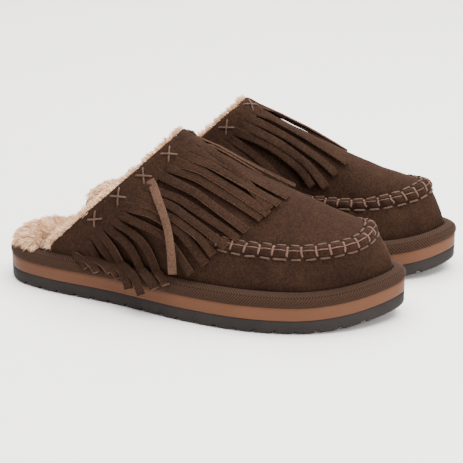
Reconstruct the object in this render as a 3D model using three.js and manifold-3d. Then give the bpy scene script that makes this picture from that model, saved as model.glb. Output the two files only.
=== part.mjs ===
// A pair of fringed suede moccasin mules with a fleece lining.
//
// Each slipper is a stack of sole layers that share one outline, an upper that stands on the
// stack, and a fringed collar sewn over the top line. The right slipper is modelled and the left
// one is its mirror image. Units are millimetres, +X points to the toes, +Y to the wearer's left
// and +Z up. The origin is on the floor, in the middle of the pair.

import * as THREE from "three";
import { mergeVertices } from "three/addons/utils/BufferGeometryUtils.js";
import Module from "manifold-3d";

const wasm = await Module();
wasm.setup();

// ---------------------------------------------------------------- driving dimensions

const SOLE_LENGTH = 268;
const BALL_LATERAL = 53.8; // half widths, measured from the slipper's own long axis
const BALL_MEDIAL = 44.1;
const WAIST_LATERAL = 36.8;
const WAIST_MEDIAL = 31;
const HEEL_LATERAL = 27;
const HEEL_MEDIAL = 30;
const TOE_SPRING = 8; // how far the toe curls up off the floor
const SPRING_START = 72; // where that curl begins, forward of the middle

const OUTSOLE_THICKNESS = 8.8;
const OUTSOLE_EDGE_ROUND = 2.2;
const GROOVE_PITCH = 12.8;
const GROOVE_WIDTH = 3.4;
const GROOVE_DEPTH = 2.2;
const MIDSOLE_THICKNESS = 8.2;
const PLATFORM_THICKNESS = 6.2;
const BRAID_THICKNESS = 1.6;
const BOARD_THICKNESS = 1.6;
const FOAM_THICKNESS = 3.5;
const FLEECE_THICKNESS = 8;
const GAP = 0.3; // glue lines and stitched faces keep this much between two pieces

const SUEDE = 1.5;
const LINING = 4.6;
const UPPER_INSET = 8.2; // from the sole's edge to the outside of the upper
const RIDGE_Y = 4; // the instep's top line lies a little to the medial side
const COLLAR_BASE_X = -96; // where the top line meets the sole
const COLLAR_TOP = [-14, 107.5]; // x and height of the instep's highest point
const RIDGE_MIDDLE = [64, 73];
const RIDGE_FRONT = [112.5, 57.8]; // where the instep meets the moccasin seam
const LEAN_END = 75; // forward of this, sections stand upright
const LEAN_POWER = 1.25;
const LEAN_RISE = 6; // height above the sole where the top line starts to slant

const APRON_CENTRE = [58, -4]; // middle of the round front of the moccasin seam
const APRON_HALF_WIDTH = 31;
const APRON_SQUARENESS = 2.25; // 2 is an ellipse, more is boxier
const SEAM_BAND = 6.4; // width of the raised moccasin seam
const SEAM_HEIGHT = 1;
const WELT_LIFT = 0.8; // the seam rests this far off the panels it joins
const SEAM_PUFF = 0.9; // how much higher the seam is along its middle
const SEAM_END = 0.42; // the seam runs to this share of the way from toe to collar
const STITCH_PITCH = 8.8;
const STITCH_GAP = 1.6; // from the seam's edge to each row of running stitches
const STITCH_ROW = SEAM_BAND / 2 + STITCH_GAP;
const THREAD = 0.9;

const COLLAR_BAND = 15; // uncut depth of the fringe piece
const BAND_LIFT = 0.6; // the band rests this far off the upper
const STRAND_PITCH = 7;
const STRAND_WIDTH = 5.4;
const STRAND_LIFT = 0.6; // a strand lies this much above the band's inner face
const STRAND_LONGEST = 64;
const STRAND_SHORTEST = 12;
const STRAND_STEPS = 6;
const STRAND_SAG = 0.032; // how fast a strand turns downhill, per millimetre
const CROSS_PITCH = 21;
const CROSS_SPAN = 11.5;
const CROSS_FROM_EDGE = 7.5;
const CROSS_LIFT = 0.35; // keeps the straight threads clear of the round band

const PAIR_SPACING = 94.4; // between the long axes of the two slippers
const PAIR_STAGGER = 16.2; // how far the left slipper stands in front

const OUTLINE_POINTS = 38; // around the whole sole
const WALL_ROWS = 12; // collar to toe, on each side
const WALL_COLUMNS = 4;
const APRON_COLUMNS = 8;

// ---------------------------------------------------------------- heights of the stack

const midsoleZ = OUTSOLE_THICKNESS + GAP;
const platformZ = midsoleZ + MIDSOLE_THICKNESS + GAP;
const platformTop = platformZ + PLATFORM_THICKNESS;
const upperZ = platformTop + GAP;
const foamZ = upperZ + BOARD_THICKNESS + GAP;
const fleeceZ = foamZ + FOAM_THICKNESS + GAP;
const insideUpper = UPPER_INSET + SUEDE + GAP;
const insideLining = insideUpper + LINING + GAP;

// ---------------------------------------------------------------- small helpers

const vec = (x, y, z) => new THREE.Vector3(x, y, z);
const clamp01 = (t) => Math.min(1, Math.max(0, t));
const lerp = THREE.MathUtils.lerp;
const spring = (x) =>
  TOE_SPRING * clamp01((x - SPRING_START) / (SOLE_LENGTH / 2 - SPRING_START)) ** 2;

// A smooth function through [at, value] knots.
function through(knots) {
  return (at) => {
    const last = knots.length - 1;
    const i = Math.max(0, Math.min(last - 1, knots.findIndex((k) => k[0] > at) - 1));
    const at0 = knots[at >= knots[last][0] ? last - 1 : i];
    const j = knots.indexOf(at0);
    const slope = (k) => {
      const a = knots[Math.max(0, k - 1)];
      const b = knots[Math.min(last, k + 1)];
      return (b[1] - a[1]) / (b[0] - a[0]);
    };
    const span = knots[j + 1][0] - knots[j][0];
    const t = clamp01((at - knots[j][0]) / span);
    const bend = t * t * (3 - 2 * t);
    return (
      knots[j][1] * (1 - bend) +
      knots[j + 1][1] * bend +
      span * (slope(j) * t * (1 - t) ** 2 - slope(j + 1) * t * t * (1 - t))
    );
  };
}

// An indexed geometry from points and triangles, turned so that its faces point outwards.
function closedGeometry(points, faces) {
  let volume = 0;
  for (const [a, b, c] of faces) volume += points[a].dot(vec(0, 0, 0).crossVectors(points[b], points[c]));
  const index = faces.flatMap(([a, b, c]) => (volume < 0 ? [a, c, b] : [a, b, c]));
  const geometry = new THREE.BufferGeometry();
  geometry.setAttribute("position", new THREE.Float32BufferAttribute(points.flatMap((p) => p.toArray()), 3));
  geometry.setIndex(index);
  return geometry;
}

const quad = (a, b, c, d) => [[a, b, c], [a, c, d]];

// Joins rings of equally many points into a solid. A ladder cap pairs the points of the two long
// sides, so it follows the curl of the sole, and a fan cap suits small round ends.
function loft(rings, { cap = "fan", closed = false } = {}) {
  const n = rings[0].length;
  const points = rings.flat();
  const faces = [];
  const spans = closed ? rings.length : rings.length - 1;
  for (let i = 0; i < spans; i++) {
    const next = (i + 1) % rings.length;
    for (let k = 0; k < n; k++) {
      faces.push(...quad(i * n + k, i * n + ((k + 1) % n), next * n + ((k + 1) % n), next * n + k));
    }
  }
  const capRing = (start, flip) => {
    const made = [];
    if (cap === "ladder") {
      for (let k = 1; k <= n / 2; k++) {
        const [a, b, c, d] = [k - 1, k, n - k, (n - k + 1) % n].map((j) => start + j);
        if (a !== d) made.push([a, d, c]);
        if (b !== c) made.push([a, c, b]);
      }
    } else {
      for (let k = 1; k < n - 1; k++) made.push([start, start + k + 1, start + k]);
    }
    return flip ? made.map(([a, b, c]) => [a, c, b]) : made;
  };
  if (!closed) faces.push(...capRing(0, false), ...capRing((rings.length - 1) * n, true));
  return closedGeometry(points, faces);
}

// ---------------------------------------------------------------- sole outline

const half = SOLE_LENGTH / 2;
const along = (share) => -half + share * SOLE_LENGTH;
const outlineCurve = new THREE.CatmullRomCurve3(
  [
    [-half, 1],
    [along(0.035), -0.62 * HEEL_LATERAL],
    [along(0.12), -HEEL_LATERAL],
    [along(0.32), -WAIST_LATERAL],
    [along(0.52), -0.93 * BALL_LATERAL],
    [along(0.68), -BALL_LATERAL],
    [along(0.82), -0.857 * BALL_LATERAL],
    [along(0.935), -0.49 * BALL_LATERAL],
    [half, 0.7],
    [along(0.955), 0.53 * BALL_MEDIAL],
    [along(0.86), 0.883 * BALL_MEDIAL],
    [along(0.72), BALL_MEDIAL],
    [along(0.55), 0.9 * BALL_MEDIAL],
    [along(0.36), WAIST_MEDIAL],
    [along(0.14), HEEL_MEDIAL],
    [along(0.035), 0.64 * HEEL_MEDIAL],
  ].map(([x, y]) => vec(x, y, 0)),
  true,
  "centripetal",
);

// Evenly spaced points of the outline with their outward normals, from the heel by the lateral side.
function outlineLoop(count) {
  const points = outlineCurve.getSpacedPoints(count).slice(0, count);
  return points.map((p, k) => {
    const ahead = points[(k + 1) % count];
    const behind = points[(k + count - 1) % count];
    const tangent = ahead.clone().sub(behind).normalize();
    return { p, out: vec(tangent.y, -tangent.x, 0) };
  });
}
const loop = outlineLoop(OUTLINE_POINTS);
const insetAt = (inset, x) => (typeof inset === "function" ? inset(x) : inset);

// One ring of a sole layer: the outline moved inwards, lifted to a height and curled at the toe.
const ring = (inset, z) =>
  loop.map(({ p, out }) => {
    const q = p.clone().addScaledVector(out, -insetAt(inset, p.x));
    return vec(q.x, q.y, z + spring(q.x));
  });

// ---------------------------------------------------------------- manifold joins and cuts

function solidOf(geometry) {
  const bare = geometry.clone();
  for (const name of Object.keys(bare.attributes)) if (name !== "position") bare.deleteAttribute(name);
  const merged = mergeVertices(bare, 1e-4);
  return new wasm.Manifold(
    new wasm.Mesh({
      numProp: 3,
      vertProperties: new Float32Array(merged.attributes.position.array),
      triVerts: new Uint32Array(merged.index.array),
    }),
  );
}

function geometryOf(solid) {
  const mesh = solid.simplify(0.01).getMesh();
  const geometry = new THREE.BufferGeometry();
  geometry.setAttribute("position", new THREE.Float32BufferAttribute(mesh.vertProperties, 3));
  geometry.setIndex(Array.from(mesh.triVerts));
  return geometry;
}

// ---------------------------------------------------------------- sole layers

function outsole() {
  const slab = loft(
    [
      ring(OUTSOLE_EDGE_ROUND, 0),
      ring(0.3 * OUTSOLE_EDGE_ROUND, 0.35 * OUTSOLE_EDGE_ROUND),
      ring(0, OUTSOLE_EDGE_ROUND),
      ring(0, OUTSOLE_THICKNESS),
    ],
    { cap: "ladder" },
  );
  let solid = solidOf(slab);
  const grooves = Math.floor((SOLE_LENGTH - 2 * GROOVE_PITCH) / GROOVE_PITCH);
  for (let i = 0; i <= grooves; i++) {
    const x = (i - grooves / 2) * GROOVE_PITCH;
    const cutter = new THREE.BoxGeometry(GROOVE_WIDTH, 2.4 * BALL_LATERAL, 2 * GROOVE_DEPTH);
    cutter.rotateY(-Math.atan(spring(x + 1) - spring(x)));
    cutter.translate(x, 0, spring(x));
    solid = solid.subtract(solidOf(cutter));
  }
  return geometryOf(solid);
}

const midsole = () =>
  loft([ring(0, midsoleZ), ring(0, midsoleZ + MIDSOLE_THICKNESS)], { cap: "ladder" });

// Inset and height of the rounded shoulder that the braid covers.
const shoulder = (grow) => [
  [1.6 + GAP - grow, platformZ],
  [1.6 + GAP - grow, platformZ + 0.55 * PLATFORM_THICKNESS],
  [3.6 + GAP - 0.8 * grow, platformTop - 0.6 + 0.7 * grow],
  [UPPER_INSET - BRAID_THICKNESS + GAP, platformTop + grow],
];

const platformCore = () => loft(shoulder(0).map(([inset, z]) => ring(inset, z)), { cap: "ladder" });

function braidRand() {
  const inner = shoulder(GAP);
  const outer = shoulder(GAP + BRAID_THICKNESS);
  const section = [...outer, ...inner.reverse()];
  return loft(section.map(([inset, z]) => ring(inset, z)), { closed: true });
}

const insoleBoard = () =>
  loft([ring(insideUpper, upperZ), ring(insideUpper, upperZ + BOARD_THICKNESS)], { cap: "ladder" });

const footbedFoam = () =>
  loft([ring(insideUpper, foamZ), ring(insideUpper + 0.4, foamZ + FOAM_THICKNESS)], { cap: "ladder" });

// The fleece sock reaches the braid at the open heel and stays inside the lining further forward.
function fleeceInset(x) {
  const t = clamp01((x - COLLAR_BASE_X + 14) / 10);
  return lerp(UPPER_INSET + GAP, insideLining, t);
}
const footbedFleece = () =>
  loft(
    [
      ring(fleeceInset, fleeceZ),
      ring(fleeceInset, fleeceZ + 0.6 * FLEECE_THICKNESS),
      ring((x) => fleeceInset(x) + 4, fleeceZ + FLEECE_THICKNESS),
    ],
    { cap: "ladder" },
  );

// ---------------------------------------------------------------- the upper's surface

// Height of the instep's top line: the curve through its rear, middle and front points.
function ridgeHeight(x) {
  const [[x0, z0], [x1, z1], [x2, z2]] = [COLLAR_TOP, RIDGE_MIDDLE, RIDGE_FRONT];
  const first = (z1 - z0) / (x1 - x0);
  const second = ((z2 - z1) / (x2 - x1) - first) / (x2 - x0);
  return z0 + first * (x - x0) + second * (x - x0) * (x - x1);
}

// The line where the upper meets the sole, from the toe (0) to the collar (1) on one side.
const fine = outlineLoop(720).map(({ p, out }) => ({ p: p.clone().addScaledVector(out, -UPPER_INSET), out }));
const toeIndex = fine.reduce((best, q, i) => (q.p.x > fine[best].p.x ? i : best), 0);
function baseLine(side) {
  const points = [fine[toeIndex]];
  for (let k = 1; k < fine.length / 2; k++) {
    points.push(fine[(toeIndex + side * k + fine.length) % fine.length]);
  }
  const collar = points.findIndex(({ p }) => p.x < COLLAR_BASE_X);
  return (share) => {
    const at = Math.max(0, share) * collar;
    const i = Math.min(points.length - 2, Math.floor(at));
    return {
      p: points[i].p.clone().lerp(points[i + 1].p, at - i),
      inward: points[i].out.clone().lerp(points[i + 1].out, at - i).normalize().negate(),
    };
  };
}
const base = { lateral: baseLine(-1), medial: baseLine(1) };

// The moccasin seam in plan: a rounded front on the toe side of the apron's centre and two long
// sides behind it. The sides close in on the ankle and end as the edge of the top line.
const sideHalf = through([[COLLAR_BASE_X, 26], [-40, 31], [10, 33.5], [APRON_CENTRE[0], APRON_HALF_WIDTH]]);
function seamPlan(side, share) {
  const { p } = base[side](share);
  const [cx, cy] = APRON_CENTRE;
  if (p.x < cx) {
    const middle = cy * clamp01((p.x - COLLAR_BASE_X) / 60);
    return [p.x, middle + (side === "lateral" ? -1 : 1) * sideHalf(p.x)];
  }
  const angle = Math.atan2((p.y - cy) * 1.15, p.x - cx);
  const [c, w] = [Math.cos(angle), Math.sin(angle)];
  const [a, b, k] = [RIDGE_FRONT[0] - cx, APRON_HALF_WIDTH, APRON_SQUARENESS];
  const r = ((c / a) ** k + (Math.abs(w) / b) ** k) ** (-1 / k);
  return [cx + r * c, cy + r * w];
}
const seamRise = through([[0, 27], [0.2, 25.4], [0.35, 24.6], [0.5, 26], [0.7, 34], [1, 46]]);
const wallSwell = through([[0, 0.3], [0.5, 1], [1, 3]]); // how far the wall swells outwards
const leanAt = (x) =>
  (COLLAR_TOP[0] - COLLAR_BASE_X) * clamp01((LEAN_END - x) / (LEAN_END - COLLAR_BASE_X)) ** LEAN_POWER;

// A point of the side wall: share runs from toe (0) to collar (1), up from the sole (0) to the seam (1).
function wallPoint(side, share, up) {
  const { p, inward } = base[side](share);
  const [seamX, seamY] = seamPlan(side, share);
  const z0 = upperZ + spring(p.x);
  const z = z0 + seamRise(share) * up;
  const bend = Math.max(0, up) ** 1.7;
  const q = vec(lerp(p.x, seamX, bend), lerp(p.y, seamY, bend), z);
  q.addScaledVector(inward, -wallSwell(share) * Math.sin(Math.PI * Math.max(0, up) ** 1.3));
  const lean = leanAt(p.x);
  q.x += lean * leanShare(z - z0, ridgeHeight(p.x + lean) - z0);
  return q;
}
const leanShare = (rise, whole) => Math.max(0, rise - LEAN_RISE) / (whole - LEAN_RISE);

// A point of the apron: across runs from the lateral seam (0) over the instep to the medial one (1).
function apronPoint(share, across) {
  const lateral = wallPoint("lateral", share, 1);
  const medial = wallPoint("medial", share, 1);
  const edge = lateral.clone().lerp(medial, across);
  const x0 = (base.lateral(share).p.x + base.medial(share).p.x) / 2;
  const lean = leanAt(x0);
  const z0 = upperZ + spring(x0);
  const left = 1 - leanShare(edge.z - z0, ridgeHeight(x0 + lean) - z0);
  const ridgeX = (lateral.x + medial.x) / 2 + lean * left;
  const crown = Math.abs(1 - 2 * across) ** lerp(1.9, 2.3, share);
  const ridgeShift = (RIDGE_Y - (lateral.y + medial.y) / 2) * (1 - crown) * clamp01(share * 4);
  return vec(
    lerp(ridgeX, edge.x, crown),
    edge.y + ridgeShift,
    lerp(ridgeHeight(ridgeX), edge.z, crown),
  );
}

// The whole section: v from 0 at the lateral sole, over the instep at 0.5, to 1 at the medial sole.
const WALL_SHARE = 0.3;
function upperPoint(share, v) {
  if (v < WALL_SHARE) return wallPoint("lateral", share, v / WALL_SHARE);
  if (v > 1 - WALL_SHARE) return wallPoint("medial", share, (1 - v) / WALL_SHARE);
  return apronPoint(share, (v - WALL_SHARE) / (1 - 2 * WALL_SHARE));
}
function upperNormal(share, v) {
  const [d, wide] = [0.004, 0.02];
  const ds = upperPoint(share + d, v).sub(upperPoint(share - d, v));
  const dv = upperPoint(share, v + wide).sub(upperPoint(share, v - wide));
  return vec(0, 0, 0).crossVectors(dv, ds).normalize();
}

// ---------------------------------------------------------------- shells of the upper

const columns = [];
for (let i = 0; i < WALL_COLUMNS; i++) columns.push((WALL_SHARE * i) / WALL_COLUMNS);
const seamColumn = columns.length; // the last column of the lateral wall
const SEAM_SLIT = 0.0065;
columns.push(WALL_SHARE - SEAM_SLIT, WALL_SHARE + SEAM_SLIT);
for (let i = 1; i < APRON_COLUMNS; i++) {
  columns.push(lerp(WALL_SHARE, 1 - WALL_SHARE, i / APRON_COLUMNS));
}
columns.push(...columns.slice(0, seamColumn + 2).reverse().map((v) => 1 - v));

// Rows crowd towards the toe, where the section turns quickest. The last row closes the toe.
const rows = [];
for (let i = 0; i <= WALL_ROWS; i++) rows.push((1 - i / WALL_ROWS) ** 1.2);
rows.splice(1, 0, (1 + rows[1]) / 2); // one more where the collar band lies

// The surface as a net whose last row is zipped: each lateral point is also its medial partner.
function upperNet() {
  const points = [];
  const id = rows.map((share, i) =>
    columns.map((v, k) => {
      const partner = columns.length - 1 - k;
      if (i === rows.length - 1 && k > partner) return null;
      points.push(upperPoint(share, v));
      return points.length - 1;
    }),
  );
  const lastRow = id[id.length - 1];
  lastRow.forEach((value, k) => {
    if (value === null) lastRow[k] = lastRow[columns.length - 1 - k];
  });
  const tip = lastRow[seamColumn + 1];
  for (let k = seamColumn + 1; k < columns.length - seamColumn - 1; k++) lastRow[k] = tip;
  const cells = [];
  for (let i = 0; i + 1 < rows.length; i++) {
    for (let k = 0; k + 1 < columns.length; k++) {
      const corners = quad(id[i][k], id[i][k + 1], id[i + 1][k + 1], id[i + 1][k]);
      const faces = corners.filter(([a, b, c]) => a !== b && b !== c && a !== c);
      cells.push({ row: i, column: k, faces });
    }
  }
  const normals = points.map(() => vec(0, 0, 0));
  for (const { faces } of cells) {
    for (const [a, b, c] of faces) {
      const face = vec(0, 0, 0).crossVectors(
        points[b].clone().sub(points[a]),
        points[c].clone().sub(points[a]),
      );
      for (const v of [a, b, c]) normals[v].add(face);
    }
  }
  const up = normals[id[0][columns.length >> 1]].z > 0 ? 1 : -1;
  normals.forEach((n) => n.normalize().multiplyScalar(up));
  return { points, normals, cells };
}
const net = upperNet();

// Thickens the cells that keep() accepts into a closed shell between two distances from the surface.
function shell(outer, inner, keep) {
  const faces = net.cells.filter(keep).flatMap((cell) => cell.faces);
  const used = [...new Set(faces.flat())];
  const place = new Map(used.map((v, i) => [v, i]));
  const offset = (distance) => used.map((v) => net.points[v].clone().addScaledVector(net.normals[v], distance));
  const points = [...offset(outer), ...offset(inner)];
  const n = used.length;
  const made = [];
  const edges = new Map();
  for (const face of faces) {
    const [a, b, c] = face.map((v) => place.get(v));
    made.push([a, b, c], [n + a, n + c, n + b]);
    for (const [p, q] of [[a, b], [b, c], [c, a]]) {
      if (edges.has(q + "-" + p)) edges.delete(q + "-" + p);
      else edges.set(p + "-" + q, [p, q]);
    }
  }
  for (const [p, q] of edges.values()) made.push([q, p, n + p], [q, n + p, n + q]);
  return closedGeometry(points, made);
}

const lastColumn = columns.length - 2;
const isWall = ({ column }) => column < seamColumn || column > lastColumn - seamColumn;
const isApron = ({ column }) => column > seamColumn && column < lastColumn - seamColumn;
const vamp = () => cutBelow(shell(0, -SUEDE, isWall), upperZ);
const apron = () => shell(0, -SUEDE, isApron);

// Everything inside the curled sole below a height, to cut the upper's pieces off at that height.
const below = (z) => solidOf(loft([ring(-30, platformZ), ring(-30, z)], { cap: "ladder" }));
const cutBelow = (geometry, z) => geometryOf(solidOf(geometry).subtract(below(z)));
// A layer trimmed to leave room for the part of the upper's shell that lies outside a depth.
function trimmed(layer, depth) {
  const pieces = solidOf(layer).subtract(solidOf(shell(3, -depth, () => true))).decompose();
  return geometryOf(pieces.reduce((most, piece) => (piece.volume() > most.volume() ? piece : most)));
}

// The lining stops short of the sole so that it stands on the footbed foam.
function upperLining() {
  const outside = SUEDE + 2 * GAP;
  const whole = shell(-outside, -outside - LINING, () => true);
  return trimmed(cutBelow(whole, fleeceZ), SUEDE + GAP);
}

// ---------------------------------------------------------------- moccasin seam and its threads

// A strip with a rectangular section along points that each have a normal and a side direction.
function strip(path, width, thickness) {
  return loft(
    path.map(({ p, n, side }) => [
      p.clone().addScaledVector(side, -width / 2),
      p.clone().addScaledVector(side, width / 2),
      p.clone().addScaledVector(side, width / 2).addScaledVector(n, thickness),
      p.clone().addScaledVector(side, -width / 2).addScaledVector(n, thickness),
    ]),
  );
}

// The upper's outside straight below a point: its height and normal there.
function skinUnder(x, y) {
  let best = null;
  for (const [a, b, c] of net.cells.flatMap((cell) => cell.faces)) {
    const [p, q, r] = [net.points[a], net.points[b], net.points[c]];
    const det = (q.x - p.x) * (r.y - p.y) - (r.x - p.x) * (q.y - p.y);
    const s = ((x - p.x) * (r.y - p.y) - (r.x - p.x) * (y - p.y)) / det;
    const t = ((q.x - p.x) * (y - p.y) - (x - p.x) * (q.y - p.y)) / det;
    if (s < -1e-6 || t < -1e-6 || s + t > 1 + 1e-6) continue;
    const z = p.z + s * (q.z - p.z) + t * (r.z - p.z);
    if (best && z < best.p.z) continue;
    const n = [a, b, c].reduce((sum, v, i) => sum.addScaledVector(net.normals[v], [1 - s - t, s, t][i]), vec(0, 0, 0));
    best = { p: vec(x, y, z), n: n.normalize() };
  }
  return best;
}

// Places along the seam, evenly spaced from the lateral end round the toe to the medial end. Each
// gives the surface at a distance across the seam: negative down the wall, positive on the apron.
function seamStations(count) {
  const samples = 600;
  const line = [];
  let run = 0;
  for (let i = 0; i <= samples; i++) {
    const at = SEAM_END * ((2 * i) / samples - 1);
    const side = at < 0 ? "lateral" : "medial";
    const p = wallPoint(side, Math.abs(at), 1);
    if (i) run += p.distanceTo(line[i - 1].p);
    line.push({ p, side, share: Math.abs(at), run });
  }
  return Array.from({ length: count + 1 }, (_, i) => {
    const k = line.findIndex((q) => q.run >= (i / count) * run - 1e-6);
    const { p, side, share } = line[k];
    const tangent = line[Math.min(samples, k + 3)].p.clone().sub(line[Math.max(0, k - 3)].p).normalize();
    const inward = vec(-tangent.y, tangent.x, 0).normalize();
    const surface = (distance) => {
      if (distance < 0) {
        const up = 1 + distance / (seamRise(share) * 1.12);
        const q = wallPoint(side, share, up);
        const n = vec(0, 0, 0).crossVectors(tangent, p.clone().sub(q)).normalize();
        return { p: q, n: n.z < 0 ? n.negate() : n, side: tangent };
      }
      const probe = p.clone().addScaledVector(inward, 1.5);
      const slope = (skinUnder(probe.x, probe.y).p.z - p.z) / 1.5;
      const q = p.clone().addScaledVector(inward, Math.max(0.02, distance / Math.hypot(1, slope)));
      return { ...skinUnder(q.x, q.y), side: tangent };
    };
    const [out, crest] = [surface(-SEAM_BAND / 2), surface(SEAM_BAND / 2)];
    const n = out.n.clone().add(crest.n).normalize();
    return { out, crest, middle: { p, n, side: tangent }, surface };
  });
}
const lifted = ({ p, n, side }, height) => ({ p: p.clone().addScaledVector(n, height), n, side });
const seamStitches = Math.round(230 / STITCH_PITCH);
const stations = seamStations(2 * seamStitches);

function seamWelt() {
  const rings = stations.filter((_, i) => i % 2 === 0).map(({ out, middle, crest }) => {
    const low = [out, middle, crest].map((q) => lifted(q, WELT_LIFT).p);
    const high = [
      lifted(crest, WELT_LIFT + SEAM_HEIGHT).p,
      lifted(middle, WELT_LIFT + SEAM_HEIGHT + SEAM_PUFF).p,
      lifted(out, WELT_LIFT + SEAM_HEIGHT).p,
    ];
    return [...low, ...high];
  });
  return loft(rings, { cap: "ladder" });
}

// A row of running stitches: one long thread that dips towards the suede between two stitches.
const stitchRow = (distance) =>
  strip(
    stations.map(({ surface }, i) => {
      const q = lifted(surface(distance), 2 * GAP + (i % 2 ? 1 : 0.7));
      return { ...q, side: vec(0, 0, 0).crossVectors(q.n, q.side).normalize() };
    }),
    THREAD,
    THREAD,
  );

// The lacing over the seam: one thread that crosses the welt at every stitch and runs along its
// edge, on alternate sides, to the next crossing.
function seamLacing() {
  const lift = WELT_LIFT + GAP + SEAM_HEIGHT;
  const turns = stations.filter((_, i) => i % 2 === 0).slice(1, -1);
  const path = turns.flatMap(({ out, middle, crest }, i) => {
    const bar = [lifted(out, lift), lifted(middle, lift + SEAM_PUFF), lifted(crest, lift)];
    return i % 2 ? bar.reverse() : bar;
  });
  const ahead = path.map((_, i) => {
    const [from, to] = [path[Math.max(0, i - 1)], path[Math.min(path.length - 1, i + 1)]];
    return to.p.clone().sub(from.p).normalize();
  });
  const turned = path.map((q, i) => ({ ...q, side: vec(0, 0, 0).crossVectors(q.n, ahead[i]).normalize() }));
  return strip(turned, THREAD, THREAD);
}

// ---------------------------------------------------------------- fringed collar

// One step over the upper: the change of (share, v) that moves a point by a given vector.
function surfaceStep(share, v, move) {
  const d = 0.003;
  const ds = upperPoint(share + d, v).sub(upperPoint(share - d, v)).divideScalar(2 * d);
  const dv = upperPoint(share, v + d).sub(upperPoint(share, v - d)).divideScalar(2 * d);
  const [a, b, c] = [ds.dot(ds), ds.dot(dv), dv.dot(dv)];
  const [e, f] = [move.dot(ds), move.dot(dv)];
  const det = a * c - b * b;
  return [(e * c - f * b) / det, (a * f - b * e) / det];
}

// Places along the collar edge, a pitch apart, as values of v.
function collarPlaces(pitch, from, to) {
  const samples = 240;
  const places = [];
  let run = 0;
  let last = upperPoint(1, from);
  for (let i = 1; i <= samples; i++) {
    const v = lerp(from, to, i / samples);
    const p = upperPoint(1, v);
    run += p.distanceTo(last);
    last = p;
    if (run >= pitch * (places.length + 0.5)) places.push(v);
  }
  return places;
}

// The direction at right angles to the slanted plane of the top line, forwards and down.
const collarAxis = vec(COLLAR_TOP[1] - upperZ, 0, COLLAR_BASE_X - COLLAR_TOP[0]).normalize();

// A path over the upper that leaves the collar at right angles. Past a first stretch it is
// recorded in even steps and turns downhill as it goes.
function drape(v0, length, steps, sag, first = 0) {
  let [share, v] = [0.9995, v0];
  const heading = collarAxis.clone();
  const path = [];
  const walk = (stride, turn) => {
    const n = upperNormal(share, v);
    const downhill = vec(0, 0, -1).addScaledVector(n, n.z);
    heading.addScaledVector(downhill, turn * stride * (1 - n.z * n.z)).addScaledVector(n, -heading.dot(n)).normalize();
    const [ds, dv] = surfaceStep(share, v, heading.clone().multiplyScalar(stride));
    share += ds;
    v = Math.min(0.97, Math.max(0.03, v + dv));
  };
  const record = () => {
    const n = upperNormal(share, v);
    const side = vec(0, 0, 0).crossVectors(n, heading).normalize();
    path.push({ p: upperPoint(share, v), n, side, share, v });
  };
  const fineSteps = 3;
  if (first) for (let i = 0; i < fineSteps; i++) walk(first / fineSteps, 0);
  record();
  for (let i = 0; i < steps; i++) {
    for (let k = 0; k < fineSteps; k++) walk((length - first) / steps / fineSteps, sag);
    if (sag && (v < 0.034 || v > 0.966 || share < SEAM_END + 0.03)) break;
    record();
  }
  return path;
}

const strandRoots = collarPlaces(STRAND_PITCH, 0.03, 0.97);
function strandLength(v) {
  const up = Math.sin(Math.PI * clamp01(v));
  return lerp(STRAND_SHORTEST, STRAND_LONGEST, clamp01(1.35 * up));
}

// The uncut band: a ring along the collar's depth at every place round the top line.
function collarBand() {
  const places = [0.03, 0.5, 0.97, ...strandRoots].sort((a, b) => a - b);
  const rings = places.map((v) => {
    const path = drape(v, COLLAR_BAND, 2, 0);
    const [low, high] = [BAND_LIFT, BAND_LIFT + SUEDE].map((d) => path.map((q) => lifted(q, d).p));
    return [...low, ...high.reverse()];
  });
  return loft(rings, { cap: "ladder" });
}

function fringe() {
  let solid = solidOf(collarBand());
  for (const v of strandRoots) {
    const start = COLLAR_BAND - 2;
    const path = drape(v, start + strandLength(v), STRAND_STEPS, STRAND_SAG, start);
    if (path.length < 3) continue; // too close to the sole for a strand to hang
    const hung = path.map((q) => lifted(q, BAND_LIFT + STRAND_LIFT));
    solid = solid.add(solidOf(strip(hung, STRAND_WIDTH, SUEDE)));
  }
  return geometryOf(solid);
}

// One cross stitch: two short threads that cross over the collar band.
function crossStitch(v0) {
  const centre = drape(v0, CROSS_FROM_EDGE, 1, 0)[1];
  const ahead = vec(0, 0, 0).crossVectors(centre.side, centre.n).normalize();
  const arms = [1, -1].map((turn) => {
    const arm = centre.side.clone().addScaledVector(ahead, turn).normalize();
    const points = [-0.5, 0, 0.5].map((d) => {
      const move = arm.clone().multiplyScalar(d * CROSS_SPAN);
      const [ds, dv] = surfaceStep(centre.share, centre.v, move);
      const [share, v] = [centre.share + ds, centre.v + dv];
      const n = upperNormal(share, v);
      const p = upperPoint(share, v).addScaledVector(n, BAND_LIFT + SUEDE + CROSS_LIFT);
      return { p, n, side: vec(0, 0, 0).crossVectors(n, arm).normalize() };
    });
    return solidOf(strip(points, THREAD, THREAD));
  });
  return geometryOf(arms[0].add(arms[1]));
}

// ---------------------------------------------------------------- assembly

const finish = (color, roughness) => new THREE.MeshStandardMaterial({ color, roughness, metalness: 0 });
const materials = {
  suede: finish(0x4a3328, 0.95),
  fleece: finish(0xd9bfa0, 1),
  braid: finish(0x4d3b2c, 0.9),
  foam: finish(0xa9633f, 0.7),
  rubber: finish(0x3a3a3c, 0.75),
  core: finish(0x8a8f93, 0.8),
  board: finish(0xb59f7c, 0.9),
  cushion: finish(0xe6dcc8, 0.9),
  thread: finish(0x7a6258, 0.85),
};

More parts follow.
